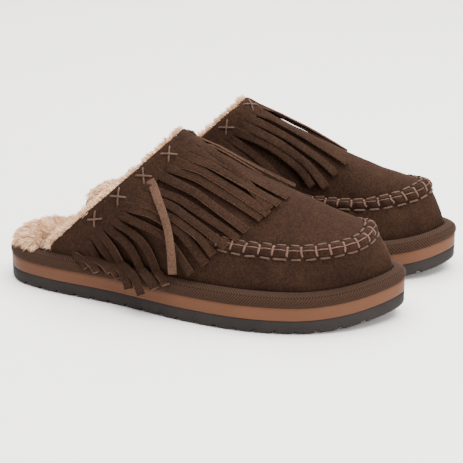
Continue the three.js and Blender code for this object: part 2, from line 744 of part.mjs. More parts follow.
const crossPlaces = collarPlaces(CROSS_PITCH, 0.185, 0.815);
const pieces = [
  ["outsole", outsole(), "rubber"],
  ["midsole", midsole(), "foam"],
  ["platform_core", platformCore(), "core"],
  ["braid_rand", braidRand(), "braid"],
  ["insole_board", trimmed(insoleBoard(), SUEDE + GAP), "board"],
  ["footbed_foam", trimmed(footbedFoam(), SUEDE + GAP), "cushion"],
  ["footbed_fleece", trimmed(footbedFleece(), SUEDE + LINING + 3 * GAP), "fleece"],
  ["vamp", vamp(), "suede"],
  ["apron", apron(), "suede"],
  ["upper_lining", upperLining(), "fleece"],
  ["seam_welt", seamWelt(), "suede"],
  ["seam_lacing", seamLacing(), "thread"],
  ["apron_stitching", stitchRow(STITCH_ROW), "thread"],
  ["vamp_stitching", stitchRow(-STITCH_ROW), "thread"],
  ["fringed_collar", fringe(), "suede"],
  ...crossPlaces.map((v, i) => ["cross_stitch_" + (i + 1), crossStitch(v), "thread"]),
];

function slipper(foot, mirror) {
  const group = new THREE.Group();
  for (const [name, geometry, material] of pieces) {
    const mesh = new THREE.Mesh(geometry, materials[material]);
    mesh.name = foot + "_" + name;
    group.add(mesh);
  }
  group.scale.y = mirror;
  group.position.set((-mirror * PAIR_STAGGER) / 2, (-mirror * PAIR_SPACING) / 2, 0);
  return group;
}

const pair = new THREE.Group();
pair.add(slipper("right", 1), slipper("left", -1));

export default pair;
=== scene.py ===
"""The looks of a pair of fringed suede moccasin mules, built over their packed frame.

Shapes are worked out in millimetres on the right slipper's own axes: x to the toe, y to the medial
side, z up. The left slipper is the mirror image, with its own chance differences in the fringe and
the fleece. Every finished mesh is in metres, in the frame's own axes.
"""

import math

import bpy
import numpy as np
from bpy.props import FloatProperty, FloatVectorProperty, IntProperty, PointerProperty
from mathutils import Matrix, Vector
from mathutils.bvhtree import BVHTree


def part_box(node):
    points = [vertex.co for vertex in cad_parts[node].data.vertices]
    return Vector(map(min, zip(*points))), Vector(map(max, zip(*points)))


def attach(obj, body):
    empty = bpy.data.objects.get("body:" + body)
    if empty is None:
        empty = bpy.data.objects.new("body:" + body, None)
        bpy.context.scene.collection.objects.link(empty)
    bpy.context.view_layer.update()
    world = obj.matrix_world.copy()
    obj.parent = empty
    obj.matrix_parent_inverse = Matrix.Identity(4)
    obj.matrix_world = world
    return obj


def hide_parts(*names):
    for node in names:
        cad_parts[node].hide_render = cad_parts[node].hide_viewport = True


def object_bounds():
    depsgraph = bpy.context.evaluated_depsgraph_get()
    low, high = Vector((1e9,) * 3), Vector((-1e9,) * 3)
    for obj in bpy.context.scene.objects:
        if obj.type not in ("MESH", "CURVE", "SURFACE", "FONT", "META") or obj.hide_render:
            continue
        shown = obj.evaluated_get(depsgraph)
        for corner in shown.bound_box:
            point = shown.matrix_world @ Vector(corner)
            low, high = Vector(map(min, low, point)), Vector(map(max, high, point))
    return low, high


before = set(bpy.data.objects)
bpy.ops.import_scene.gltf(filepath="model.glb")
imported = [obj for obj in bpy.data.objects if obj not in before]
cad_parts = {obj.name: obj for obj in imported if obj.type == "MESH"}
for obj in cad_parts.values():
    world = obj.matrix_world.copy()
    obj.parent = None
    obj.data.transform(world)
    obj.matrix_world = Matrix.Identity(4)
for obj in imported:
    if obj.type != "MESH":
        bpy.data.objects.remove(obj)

bl_info = {
    "name": "Fringed Moccasin Slippers",
    "version": (1, 0, 0),
    "blender": (4, 5, 0),
    "location": "3D View > Sidebar > Slippers",
    "description": "Builds the soles, suede uppers, fringe, stitching and fleece of a pair of slippers",
    "category": "Add Mesh",
}

CAD_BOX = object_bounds()
FEET = {"right": 1, "left": -1}
MM = 0.001


def linear(hex_colour):
    """Turns an sRGB hex colour into linear red, green and blue."""
    values = [int(hex_colour[i : i + 2], 16) / 255 for i in (0, 2, 4)]
    return tuple(v / 12.92 if v <= 0.04045 else ((v + 0.055) / 1.055) ** 2.4 for v in values)


def size_of(node, axis):
    """A frame node's extent along an axis, in metres."""
    low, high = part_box(node)
    return high[axis] - low[axis]


# ------------------------------------------------------------------ sizes and colours


def length(name, description, millimetres):
    """A length that the user can change."""
    return FloatProperty(name=name, description=description, default=millimetres * MM, unit="LENGTH")


def share(name, description, default):
    """A plain number that the user can change."""
    return FloatProperty(name=name, description=description, default=default, subtype="FACTOR")


def angle(name, description, degrees):
    """An angle that the user can change."""
    return FloatProperty(name=name, description=description, default=math.radians(degrees), subtype="ANGLE")


def strength(name, description, default):
    """The strength of a light that the user can change."""
    return FloatProperty(name=name, description=description, default=default, subtype="POWER")


def count(name, description, default):
    """A number of fibres that the user can change."""
    return IntProperty(name=name, description=description, default=default, subtype="UNSIGNED")


def colour(name, description, hex_colour):
    """A colour that the user can change."""
    tone = linear(hex_colour)
    return FloatVectorProperty(name=name, description=description, default=tone, subtype="COLOR", size=3)


class SoleSizes(bpy.types.PropertyGroup):
    """Sizes of the layered sole."""

    sole_length: length("Sole length", "Heel to toe", size_of("right_outsole", 0) / MM)
    ball_lateral: length("Ball, lateral", "Half width at the ball, outer side", 53.8)
    ball_medial: length("Ball, medial", "Half width at the ball, inner side", 44.1)
    waist_lateral: length("Waist, lateral", "Half width at the waist, outer side", 36.8)
    waist_medial: length("Waist, medial", "Half width at the waist, inner side", 31.0)
    heel_lateral: length("Heel, lateral", "Half width at the heel, outer side", 27.0)
    heel_medial: length("Heel, medial", "Half width at the heel, inner side", 30.0)
    toe_spring: length("Toe spring", "How far the toe curls up", 8.0)
    spring_start: length("Spring start", "Where the curl begins, ahead of the middle", 72.0)
    edge_round: length("Tread edge", "Rounding of the outsole's lower edge", 2.2)
    groove_pitch: length("Groove pitch", "Between two tread grooves", 12.8)
    groove_width: length("Groove width", "Width of a tread groove", 3.4)
    groove_depth: length("Groove depth", "Depth of a tread groove", 2.2)
    braid_rib: length("Braid rib", "Between two ribs of the herringbone braid", 1.9)
    braid_relief: length("Braid relief", "Height of a rib", 0.42)


class UpperSizes(bpy.types.PropertyGroup):
    """Sizes of the suede upper and its moccasin seam."""

    inset: length("Upper inset", "From the sole's edge to the upper", 8.2)
    suede: length("Suede", "Thickness of the suede", 1.5)
    gap: length("Gap", "Room between two sewn or glued pieces", 0.3)
    lining: length("Lining", "Thickness of the fleece lining's ground", 4.6)
    stitch_pitch: length("Stitch pitch", "Between two bars of the moccasin seam", 8.6)
    stitch_row: length("Stitch row", "From the seam's middle to a row of stitches", 4.9)
    thread: length("Thread", "Thickness of the sewing thread", 1.55)
    welt_width: length("Welt width", "Width of the raised seam", 8.2)
    welt_height: length("Welt height", "Height of the raised seam between two bars", 2.5)
    seam_end: share("Seam end", "How far the seam runs from toe to collar", 0.6)


class FringeSizes(bpy.types.PropertyGroup):
    """Sizes of the slit collar."""

    band: length("Band", "Uncut depth of the fringe piece", 15.0)
    strand_pitch: length("Strand pitch", "Between two strands along the collar", 6.0)
    first_strand: length("First strand", "From the sole end of the collar to the first strand", 13.0)
    strand_width: length("Strand width", "Width of one strand", 5.7)
    roll: angle("Strand roll", "Lift of a strand's front edge", 11)
    cross_span: length("Cross stitch", "Length of one arm of a cross stitch", 11.5)


class FleeceSizes(bpy.types.PropertyGroup):
    """Sizes of the fleece pile."""

    pile: length("Pile", "Length of the pile", 9.0)
    rim_pile: length("Rim pile", "Length of the pile that shows past the collar", 7.5)
    fibre_width: length("Fibre", "Width of one lock of fibres", 0.42)
    sock_fibres: count("Sock fibres", "Locks on each footbed", 26000)
    rim_fibres: count("Rim fibres", "Locks on each collar", 24000)


class Colours(bpy.types.PropertyGroup):
    """Base colours of the finishes."""

    suede: colour("Suede", "Dark brown suede", "291b14")
    suede_light: colour("Suede, raised nap", "Suede where the nap is brushed up", "35251a")
    suede_dark: colour("Suede, laid nap", "Suede where the nap lies flat", "1d130e")
    cut_edge: colour("Cut edge", "The raw edge of the suede", "4d392e")
    thread: colour("Thread", "Waxed sewing thread", "453228")
    # Painted highlight: the sewing thread's colour made lighter, for the light that the bars over the seam
    # catch.
    lacing: colour("Lacing", "The paler thread of the bars over the seam", "573f35")
    fleece: colour("Fleece", "Most of the pile", "dab48e")
    # Fleece tips and shade are painted light and painted shade: a lighter and a darker copy of the fleece
    # colour that whole fibres get at random.
    fleece_pale: colour("Fleece, tips", "The pale tips of the pile", "f0d5b6")
    fleece_deep: colour("Fleece, shade", "The deeper pile", "bf926c")
    braid: colour("Braid", "Ribs of the herringbone braid", "3f2b20")
    # Painted shade: the near-black colour of the grooves between the braid's ribs stands in for their shade.
    braid_deep: colour("Braid, hollows", "Between the ribs", "110b08")
    foam: colour("Midsole foam", "Moulded tan foam", "573725")
    rubber: colour("Rubber", "Outsole rubber", "262221")
    floor: colour("Floor", "Studio floor", "faf8f5")


class StageSizes(bpy.types.PropertyGroup):
    """The camera and the lights."""

    azimuth: angle("Azimuth", "View direction round the pair", 17.26)
    elevation: angle("Elevation", "View direction above the floor", 19.98)
    distance: length("Distance", "From the camera to its target", 1057.5)
    overhead: strength("Overhead light", "Power of the overhead soft light", 150.0)
    key: strength("Front light", "Power of the soft light at the toes", 26.0)
    fill: strength("Fill", "Strength of the light from all round", 1.0)


# ------------------------------------------------------------------ small helpers


def unit(v):
    """Vectors of length one."""
    return v / np.maximum(np.linalg.norm(v, axis=-1, keepdims=True), 1e-9)


def ease(low, high, x):
    """Rises smoothly from 0 at low to 1 at high."""
    t = np.clip((np.asarray(x, float) - low) / (high - low), 0, 1)
    return t * t * (3 - 2 * t)


def through(knots):
    """A smooth function through (at, value) knots."""
    xs, ys = np.array(knots, float).T
    slope = np.gradient(ys, xs)
    slope[1:-1] = (ys[2:] - ys[:-2]) / (xs[2:] - xs[:-2])

    def value(at):
        at = np.clip(at, xs[0], xs[-1])
        j = np.clip(np.searchsorted(xs, at, side="right") - 1, 0, len(xs) - 2)
        span = xs[j + 1] - xs[j]
        t = (at - xs[j]) / span
        bend = t * t * (3 - 2 * t)
        tilt = slope[j] * t * (1 - t) ** 2 - slope[j + 1] * t * t * (1 - t)
        return ys[j] * (1 - bend) + ys[j + 1] * bend + span * tilt

    return value


def waves(points, size, seed):
    """Gentle lumps about one size across, from -1 to 1."""
    rng = np.random.default_rng(seed)
    total = np.zeros(points.shape[:-1])
    for _ in range(7):
        way = unit(rng.normal(size=3)) * 2 * math.pi / (size * rng.uniform(0.7, 1.5))
        total += np.sin(points @ way + rng.uniform(0, 2 * math.pi))
    return total / 3.5


def even_places(points, pitch, start=0.0):
    """Places along a polyline, a pitch apart, as fractions of its index."""
    run = np.concatenate([[0], np.cumsum(np.linalg.norm(np.diff(points, axis=0), axis=1))])
    wanted = np.arange(start, run[-1], pitch)
    return np.interp(wanted, run, np.arange(len(points))), run


def grid_normals(grid):
    """The normals of a grid of points, from its own rows and columns."""
    return unit(np.cross(np.gradient(grid, axis=0), np.gradient(grid, axis=1)))


def grid_faces(rows, columns, wrap_rows=False, wrap_columns=False, start=0):
    """The quads of a grid whose points run along its columns first."""
    i = np.arange(rows if wrap_rows else rows - 1)[:, None]
    k = np.arange(columns if wrap_columns else columns - 1)[None, :]
    ahead, side = (i + 1) % rows, (k + 1) % columns
    corners = [i * columns + k, i * columns + side, ahead * columns + side, ahead * columns + k]
    return np.stack(np.broadcast_arrays(*corners), axis=-1).reshape(-1, 4) + start


def thick_sheet(outer, inner):
    """A closed shell between two grids of the same size."""
    rows, columns = outer.shape[:2]
    count = rows * columns
    faces = [grid_faces(rows, columns), grid_faces(rows, columns, start=count)[:, ::-1]]
    rim = np.concatenate(
        [
            np.arange(columns),
            np.arange(1, rows) * columns + columns - 1,
            (rows - 1) * columns + np.arange(columns - 2, -1, -1),
            np.arange(rows - 2, 0, -1) * columns,
        ]
    )
    after = np.roll(rim, -1)
    faces.append(np.stack([after, rim, rim + count, after + count], axis=-1))
    return np.vstack([outer.reshape(-1, 3), inner.reshape(-1, 3)]), np.vstack(faces)


def capped_tube(rings):
    """A closed tube through rings of points, with flat fans at its ends."""
    count, around = rings.shape[:2]
    points = np.vstack([rings.reshape(-1, 3), rings[0].mean(0), rings[-1].mean(0)])
    sides = grid_faces(count, around, wrap_columns=True)
    k = np.arange(around)
    side = (k + 1) % around
    first, last = count * around, count * around + 1
    end = (count - 1) * around
    caps = [
        np.stack([side, k, np.full(around, first)], axis=-1),
        np.stack([end + k, end + side, np.full(around, last)], axis=-1),
    ]
    return points, [sides, *caps]


class Shape:
    """Collects points and faces, each face with the number of its finish."""

    def __init__(self):
        self.points, self.faces, self.tones, self.count = [], [], [], 0

    def add(self, points, faces, tone=0):
        """Adds one mesh. tone is one number, or one for each face."""
        for part in faces if isinstance(faces, list) else [faces]:
            self.faces.append(np.asarray(part) + self.count)
            self.tones.append(np.broadcast_to(tone, len(part)) if np.isscalar(tone) else np.asarray(tone))
        self.points.append(points)
        self.count += len(points)

    def add_tube(self, rings, tone=0, cap_tone=None):
        """Adds a closed tube, with its own finish at the two ends."""
        points, (sides, *caps) = capped_tube(rings)
        self.add(points, sides, tone)
        for cap in caps:
            self.faces.append(cap + self.count - len(points))
            end_tone = cap_tone if cap_tone is not None else (tone if np.isscalar(tone) else 0)
            self.tones.append(np.full(len(cap), end_tone))


def volume_of(points, faces):
    """Six times the signed volume inside a closed mesh."""
    total = 0.0
    for part in faces:
        first = points[part[:, 0]]
        for k in range(1, part.shape[1] - 1):
            total += np.einsum("ij,ij->", first, np.cross(points[part[:, k]], points[part[:, k + 1]]))
    return total


def make_piece(name, foot, shape, looks, stands_for=(), facts=None, turn=True):
    """Makes one visible piece of a slipper, and says what it rides on and stands for.

    looks are the names of its finishes, facts are named values of its points, and turn lets its
    faces be turned outwards.
    """
    points = np.vstack(shape.points)
    faces = shape.faces
    if turn and volume_of(points, faces) < 0:
        faces = [part[:, ::-1] for part in faces]
    if FEET[foot] < 0:
        faces = [part[:, ::-1] for part in faces]
    placed = last.place(points, foot)
    mesh = bpy.data.meshes.new(f"{foot}_{name}")
    corners = np.concatenate([part.ravel() for part in faces])
    sizes = np.concatenate([np.full(len(part), part.shape[1]) for part in faces])
    mesh.vertices.add(len(placed))
    mesh.vertices.foreach_set("co", placed.ravel())
    mesh.loops.add(len(corners))
    mesh.loops.foreach_set("vertex_index", corners.astype(np.int32))
    mesh.polygons.add(len(sizes))
    mesh.polygons.foreach_set("loop_start", np.concatenate([[0], np.cumsum(sizes)[:-1]]).astype(np.int32))
    mesh.polygons.foreach_set("material_index", np.concatenate(shape.tones).astype(np.int32))
    mesh.polygons.foreach_set("use_smooth", np.full(len(sizes), True))
    for key, values in (facts or {}).items():
        layer = mesh.attributes.new(key, "FLOAT", "POINT")
        layer.data.foreach_set("value", np.asarray(values, np.float32).ravel())
    mesh.update(calc_edges=True)
    mesh.validate()
    for look in looks:
        mesh.materials.append(finishes[look])
    piece = bpy.data.objects.new(f"{foot}_{name}", mesh)
    bpy.context.scene.collection.objects.link(piece)
    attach(piece, f"{foot}_slipper")
    if stands_for:
        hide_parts(*[f"{foot}_{node}" for node in stands_for])
    return piece


# ------------------------------------------------------------------ the last: every surface


class Last:
    """The form that a slipper is built on."""

    WALL_SHARE = 0.3

    def __init__(self, sole, upper):
        self.sole, self.upper = sole, upper
        self.half = sole.sole_length / MM / 2
        self.gap, self.suede = upper.gap / MM, upper.suede / MM
        self.tread = 8.8
        self.mid_low, self.mid_high = 9.1, 17.3
        self.platform_top, self.fleece_z = 23.8, 29.8
        self.upper_z = self.platform_top + self.gap
        self.collar_base, self.collar_top = -96.0, (-14.0, 107.5)
        self.ridge = [self.collar_top, (64.0, 73.0), (112.5, 57.8)]
        self.ridge_y, self.lean_end, self.lean_power, self.lean_rise = 4.0, 75.0, 1.25, 6.0
        self.apron_centre, self.apron_half, self.squareness = (58.0, -4.0), 31.0, 2.25
        self.seam_rise = through([(0, 27), (0.2, 25.4), (0.35, 24.6), (0.5, 26), (0.7, 34), (1, 46)])
        self.swell = through([(0, 0.3), (0.5, 1), (1, 3)])
        self.side_half = through([(-96, 26), (-40, 31), (10, 33.5), (58, 31)])
        self.outline = self.sole_outline()
        self.lines = self.base_lines()
        rise = self.collar_top[1] - self.upper_z
        self.collar_axis = unit(np.array([rise, 0.0, self.collar_base - self.collar_top[0]]))
        reach = self.loop(1440)[0][:, 1].max()
        self.origins = {}
        for foot, mirror in FEET.items():
            low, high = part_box(f"{foot}_outsole")
            side = high.y / MM - reach if mirror > 0 else low.y / MM + reach
            self.origins[foot] = np.array([(low.x + high.x) / 2 / MM, side, 0.0])

    def place(self, points, foot):
        """Moves points of the right slipper's own axes to a foot of the pair, in metres."""
        placed = np.array(points, float)
        placed[..., 1] *= FEET[foot]
        return (placed + self.origins[foot]) * MM

    def spring(self, x):
        """How far the sole is curled up at x."""
        start, rise = self.sole.spring_start / MM, self.sole.toe_spring / MM
        return rise * np.clip((x - start) / (self.half - start), 0, 1) ** 2

    def sole_outline(self):
        """The closed outline of the sole, from the heel by the lateral side, as a dense polyline."""
        s = self.sole
        lateral, medial = s.ball_lateral / MM, s.ball_medial / MM
        knots = np.array(
            [
                (0, 1), (0.035, -0.62 * s.heel_lateral / MM), (0.12, -s.heel_lateral / MM),
                (0.32, -s.waist_lateral / MM), (0.52, -0.93 * lateral), (0.68, -lateral),
                (0.82, -0.857 * lateral), (0.935, -0.49 * lateral), (1, 0.7), (0.955, 0.53 * medial),
                (0.86, 0.883 * medial), (0.72, medial), (0.55, 0.9 * medial), (0.36, s.waist_medial / MM),
                (0.14, s.heel_medial / MM), (0.035, 0.64 * s.heel_medial / MM),
            ]
        )  # fmt: skip
        knots[:, 0] = (2 * knots[:, 0] - 1) * self.half
        count, curve = len(knots), []
        t = np.linspace(0, 1, 90, endpoint=False)[:, None]
        for i in range(count):
            a, b, c, d = (knots[(i + k - 1) % count] for k in range(4))
            d0, d1, d2 = (np.linalg.norm(v) ** 0.5 for v in (b - a, c - b, d - c))
            out = ((b - a) / d0 - (c - a) / (d0 + d1) + (c - b) / d1) * d1
            back = ((c - b) / d1 - (d - b) / (d1 + d2) + (d - c) / d2) * d1
            curve.append(
                b + out * t + (3 * (c - b) - 2 * out - back) * t**2 + (2 * (b - c) + out + back) * t**3
            )
        return np.vstack(curve)

    def loop(self, count):
        """Evenly spaced points of the outline and their outward normals."""
        closed = np.vstack([self.outline, self.outline[:1]])
        run = np.concatenate([[0], np.cumsum(np.linalg.norm(np.diff(closed, axis=0), axis=1))])
        at = np.linspace(0, run[-1], count, endpoint=False)
        points = np.stack([np.interp(at, run, closed[:, k]) for k in (0, 1)], axis=-1)
        tangent = unit(np.roll(points, -1, axis=0) - np.roll(points, 1, axis=0))
        return points, np.stack([tangent[:, 1], -tangent[:, 0]], axis=-1)

    def ring(self, points, out, inset, z):
        """A ring of the sole: the outline moved inwards, lifted and curled at the toe."""
        q = points - out * np.asarray(inset)[..., None]
        height = np.broadcast_to(z, q[:, 0].shape) + self.spring(q[:, 0])
        return np.column_stack([q, height])

    def base_lines(self):
        """Where the upper meets the sole, from the toe to the collar, on each side."""
        points, out = self.loop(720)
        inner = points - out * self.upper.inset / MM
        toe = int(np.argmax(inner[:, 0]))
        lines = {}
        for medial, step in ((False, -1), (True, 1)):
            order = (toe + step * np.arange(len(points) // 2)) % len(points)
            line = inner[order]
            lines[medial] = (line, -out[order], int(np.argmax(line[:, 0] < self.collar_base)))
        return lines

    def base(self, medial, at):
        """A point of the base line and its inward direction."""
        line, inward, collar = self.lines[medial]
        place = np.clip(at, 0, None) * collar
        i = np.minimum(len(line) - 2, place.astype(int))
        f = (place - i)[..., None]
        return line[i] * (1 - f) + line[i + 1] * f, unit(inward[i] * (1 - f) + inward[i + 1] * f)

    def ridge_height(self, x):
        """Height of the instep's top line."""
        (x0, z0), (x1, z1), (x2, z2) = self.ridge
        first = (z1 - z0) / (x1 - x0)
        second = ((z2 - z1) / (x2 - x1) - first) / (x2 - x0)
        return z0 + first * (x - x0) + second * (x - x0) * (x - x1)

    def seam_plan(self, medial, at):
        """The moccasin seam seen from above."""
        p, _ = self.base(medial, at)
        x, y = p[..., 0], p[..., 1]
        cx, cy = self.apron_centre
        middle = cy * np.clip((x - self.collar_base) / 60, 0, 1)
        straight = middle + (1 if medial else -1) * self.side_half(x)
        angle = np.arctan2((y - cy) * 1.15, x - cx)
        c, w, k = np.cos(angle), np.sin(angle), self.squareness
        long, wide = np.maximum(c, 1e-6) / (self.ridge[2][0] - cx), np.abs(w) / self.apron_half
        r = (long**k + wide**k) ** (-1 / k)
        back = x < cx
        return np.where(back, x, cx + r * c), np.where(back, straight, cy + r * w)

    def lean(self, x):
        """How far back the top of a section leans."""
        span = self.lean_end - self.collar_base
        whole = self.collar_top[0] - self.collar_base
        return whole * np.clip((self.lean_end - x) / span, 0, 1) ** self.lean_power

    def lean_share(self, rise, whole):
        """The share of the lean at a height."""
        return np.maximum(0, rise - self.lean_rise) / (whole - self.lean_rise)

    def wall(self, medial, at, up):
        """The side wall: at runs from toe (0) to collar (1), up from the sole (0) to the seam (1)."""
        at, up = np.broadcast_arrays(np.asarray(at, float), np.asarray(up, float))
        p, inward = self.base(medial, at)
        seam_x, seam_y = self.seam_plan(medial, at)
        z0 = self.upper_z + self.spring(p[..., 0])
        z = z0 + self.seam_rise(at) * up
        lifted = np.maximum(0, up)
        bend = lifted**1.7
        x, y = p[..., 0] + (seam_x - p[..., 0]) * bend, p[..., 1] + (seam_y - p[..., 1]) * bend
        q = np.stack([x, y, z], -1)
        q[..., :2] -= inward * (self.swell(at) * np.sin(math.pi * lifted**1.3))[..., None]
        lean = self.lean(p[..., 0])
        q[..., 0] += lean * self.lean_share(z - z0, self.ridge_height(p[..., 0] + lean) - z0)
        return q

    def apron(self, at, across):
        """The apron: across runs from the lateral seam (0) over the instep to the medial one (1)."""
        at, across = np.broadcast_arrays(np.asarray(at, float), np.asarray(across, float))
        lateral, medial = self.wall(False, at, 1), self.wall(True, at, 1)
        edge = lateral + (medial - lateral) * across[..., None]
        x0 = (self.base(False, at)[0][..., 0] + self.base(True, at)[0][..., 0]) / 2
        lean = self.lean(x0)
        z0 = self.upper_z + self.spring(x0)
        left = 1 - self.lean_share(edge[..., 2] - z0, self.ridge_height(x0 + lean) - z0)
        ridge_x = (lateral[..., 0] + medial[..., 0]) / 2 + lean * left
        crown = np.abs(1 - 2 * across) ** (1.9 + 0.4 * at)
        shift = self.ridge_y - (lateral[..., 1] + medial[..., 1]) / 2
        shift = shift * (1 - crown) * np.clip(4 * at, 0, 1)
        top = self.ridge_height(ridge_x)
        x = ridge_x + (edge[..., 0] - ridge_x) * crown
        return np.stack([x, edge[..., 1] + shift, top + (edge[..., 2] - top) * crown], -1)

    def skin(self, at, v):
        """The whole upper: v from the lateral sole (0), over the instep (0.5), to the medial sole (1)."""
        at, v = np.broadcast_arrays(np.asarray(at, float), np.asarray(v, float))
        w = self.WALL_SHARE
        lateral, medial = self.wall(False, at, v / w), self.wall(True, at, (1 - v) / w)
        top = self.apron(at, np.clip((v - w) / (1 - 2 * w), 0, 1))
        return np.where((v < w)[..., None], lateral, np.where((v > 1 - w)[..., None], medial, top))

    def skin_normal(self, at, v):
        """The outward direction of the upper."""
        near, wide = 0.004, 0.02
        along = self.skin(at + near, v) - self.skin(at - near, v)
        across = self.skin(at, v + wide) - self.skin(at, v - wide)
        return unit(np.cross(across, along))

    def skin_step(self, at, v, move):
        """The change of (at, v) that moves a point of the upper by a vector."""
        d = 0.003
        ds = (self.skin(at + d, v) - self.skin(at - d, v)) / (2 * d)
        dv = (self.skin(at, v + d) - self.skin(at, v - d)) / (2 * d)
        a, b, c = (ds * ds).sum(-1), (ds * dv).sum(-1), (dv * dv).sum(-1)
        e, f = (move * ds).sum(-1), (move * dv).sum(-1)
        det = a * c - b * b
        return (e * c - f * b) / det, (a * f - b * e) / det

    def collar_run(self, v, depth, step):
        """Paths that leave the top line at right angles: their points and normals."""
        at, v = np.full(len(v), 0.9995), np.array(v, float)
        heading = np.tile(self.collar_axis, (len(v), 1))
        points, normals = [self.skin(at, v)], [self.skin_normal(at, v)]
        for _ in range(int(round(depth / step))):
            n = normals[-1]
            heading = unit(heading - n * (heading * n).sum(-1, keepdims=True))
            ds, dv = self.skin_step(at, v, heading * step)
            at, v = at + ds, np.clip(v + dv, 0.001, 0.999)
            points.append(self.skin(at, v))
            normals.append(self.skin_normal(at, v))
        return np.stack(points, 1), np.stack(normals, 1)

    def form(self):
        """The whole outside of a slipper without its fringe, to lay strands on."""
        at, v = np.meshgrid(np.linspace(1, 0.002, 150), np.linspace(0, 1, 161), indexing="ij")
        upper = self.skin(at, v)
        points, out = self.loop(480)
        rand = np.stack([self.ring(points, out, i, z) for i, z in RAND_SECTION[:7]], 1)
        side = np.stack([self.ring(points, out, 0, z) for z in (0.0, 6.0, 12.0, 17.5)], 1)
        shape = Shape()
        for grid, wrap in ((upper, False), (rand, True), (side, True)):
            faces = grid_faces(*grid.shape[:2], wrap_rows=wrap)
            flat = grid.reshape(-1, 3)
            a, b, c = (flat[faces[:, k]] for k in range(3))
            outwards = np.cross(b - a, c - a)[:, 1] * a[:, 1]
            shape.add(flat, faces if outwards.sum() > 0 else faces[:, ::-1])
        vertices = np.vstack(shape.points)
        return BVHTree.FromPolygons(vertices.tolist(), np.vstack(shape.faces).tolist())


# Inset and height round the braid's section: up its outside, then down behind it.
RAND_SECTION = [
    (0.5, 17.5), (-0.05, 18.3), (-0.2, 20.0), (0.25, 21.9), (1.5, 23.7), (3.8, 24.9), (6.4, 25.5),
    (7.9, 25.2), (7.4, 24.0), (4.6, 23.4), (2.4, 21.8), (1.4, 19.6), (1.4, 17.8),
]  # fmt: skip
last = None


# ------------------------------------------------------------------ finishes


def add_node(tree, kind, settings=None, inputs=None):
    """Adds a node, with its settings, and with a value or another node's output in each named input."""
    node = tree.nodes.new(kind)
    for key, value in (settings or {}).items():
        setattr(node, key, value)
    for key, value in (inputs or {}).items():
        if isinstance(value, bpy.types.NodeSocket):
            tree.links.new(value, node.inputs[key])
        else:
            node.inputs[key].default_value = value
    return node


def new_finish(name, roughness, **sockets):
    """A material with its shader. Plain values are set on the shader's own sockets."""
    finish = bpy.data.materials.new(name)
    finish.use_nodes = True
    shader = finish.node_tree.nodes["Principled BSDF"]
    shader.inputs["Roughness"].default_value = roughness
    for key, value in sockets.items():
        shader.inputs[key.replace("_", " ")].default_value = value
    return finish, finish.node_tree, shader


def dress(tree, shader, tone, height, rise, strength):
    """Joins a pattern's colour to a shader, and its height, in millimetres, as relief."""
    raised = {"Height": height, "Distance": rise * MM, "Strength": strength}
    bump = add_node(tree, "ShaderNodeBump", None, raised)
    tree.links.new(tone, shader.inputs["Base Color"])
    tree.links.new(bump.outputs["Normal"], shader.inputs["Normal"])


def shades(tone, low, high):
    """A darker and a lighter shade of a tone."""
    return [low * c for c in tone], [high * c for c in tone]


def opaque(rgb):
    """A colour with full opacity."""
    return (*rgb, 1.0)


def suede_finish(name, tones):
    """Suede, split leather with a brushed nap: matt, soft-edged, mottled where the nap was stroked.

    The patches are 30 mm and 7 mm across and faint. The nap's tufts are under 0.5 mm, and are drawn
    1.2 mm across, because finer ones don't show.
    """
    dark, middle, light = (opaque(tone) for tone in tones)
    finish, tree, shader = new_finish(
        name, 0.95, Sheen_Weight=0.1, Sheen_Roughness=0.45, Specular_IOR_Level=0.06,
        Sheen_Tint=opaque(linear("9a715c")),
    )  # fmt: skip
    place = add_node(tree, "ShaderNodeTexCoord").outputs["Object"]
    patch, stroke, tuft = (
        add_node(
            tree, "ShaderNodeTexNoise", {"noise_dimensions": "3D"},
            {"Vector": place, "Scale": 1 / (across * MM), "Detail": detail, "Roughness": 0.6},
        ).outputs["Fac"]
        for across, detail in ((30, 3.0), (7, 3.0), (1.2, 4.0))
    )  # fmt: skip
    both = add_node(tree, "ShaderNodeMath", {"operation": "MULTIPLY_ADD"}, {0: stroke, 1: 0.6, 2: patch})
    mottle = add_node(
        tree, "ShaderNodeMath", {"operation": "MULTIPLY_ADD"}, {0: tuft, 1: 2.4, 2: both.outputs[0]}
    )
    eased = add_node(tree, "ShaderNodeMath", {"operation": "MULTIPLY"}, {0: mottle.outputs[0], 1: 0.25})
    ramp = add_node(tree, "ShaderNodeValToRGB", None, {"Fac": eased.outputs[0]})
    ramp.color_ramp.elements.new(0.5)
    for stop, place, tone in zip(ramp.color_ramp.elements, (0.38, 0.5, 0.66), (dark, middle, light)):
        stop.position, stop.color = place, tone
    height = add_node(tree, "ShaderNodeMath", {"operation": "MULTIPLY_ADD"}, {0: stroke, 1: 1.5, 2: tuft})
    dress(tree, shader, ramp.outputs["Color"], height.outputs[0], 0.35, 0.7)
    return finish


def thread_finish(name, tone):
    """Waxed polyester thread, twisted: a slight shine on matt strands. The twist repeats each 1.2 mm."""
    finish, tree, shader = new_finish(name, 0.62, Specular_IOR_Level=0.2)
    place = add_node(tree, "ShaderNodeTexCoord").outputs["Object"]
    ply = add_node(
        tree, "ShaderNodeTexWave", {"bands_direction": "DIAGONAL"},
        {"Vector": place, "Scale": 1 / (1.2 * MM) / 6.28, "Distortion": 2.0, "Detail": 1.0},
    )  # fmt: skip
    wear = add_node(tree, "ShaderNodeTexNoise", None, {"Vector": place, "Scale": 1 / (5 * MM), "Detail": 2.0})
    low, high = shades(tone, 0.6, 1.5)
    blend = add_node(
        tree, "ShaderNodeMix", {"data_type": "RGBA"},
        {"Factor": wear.outputs["Fac"], "A": opaque(low), "B": opaque(high)},
    )  # fmt: skip
    dress(tree, shader, blend.outputs["Result"], ply.outputs["Fac"], 0.15, 0.6)
    return finish


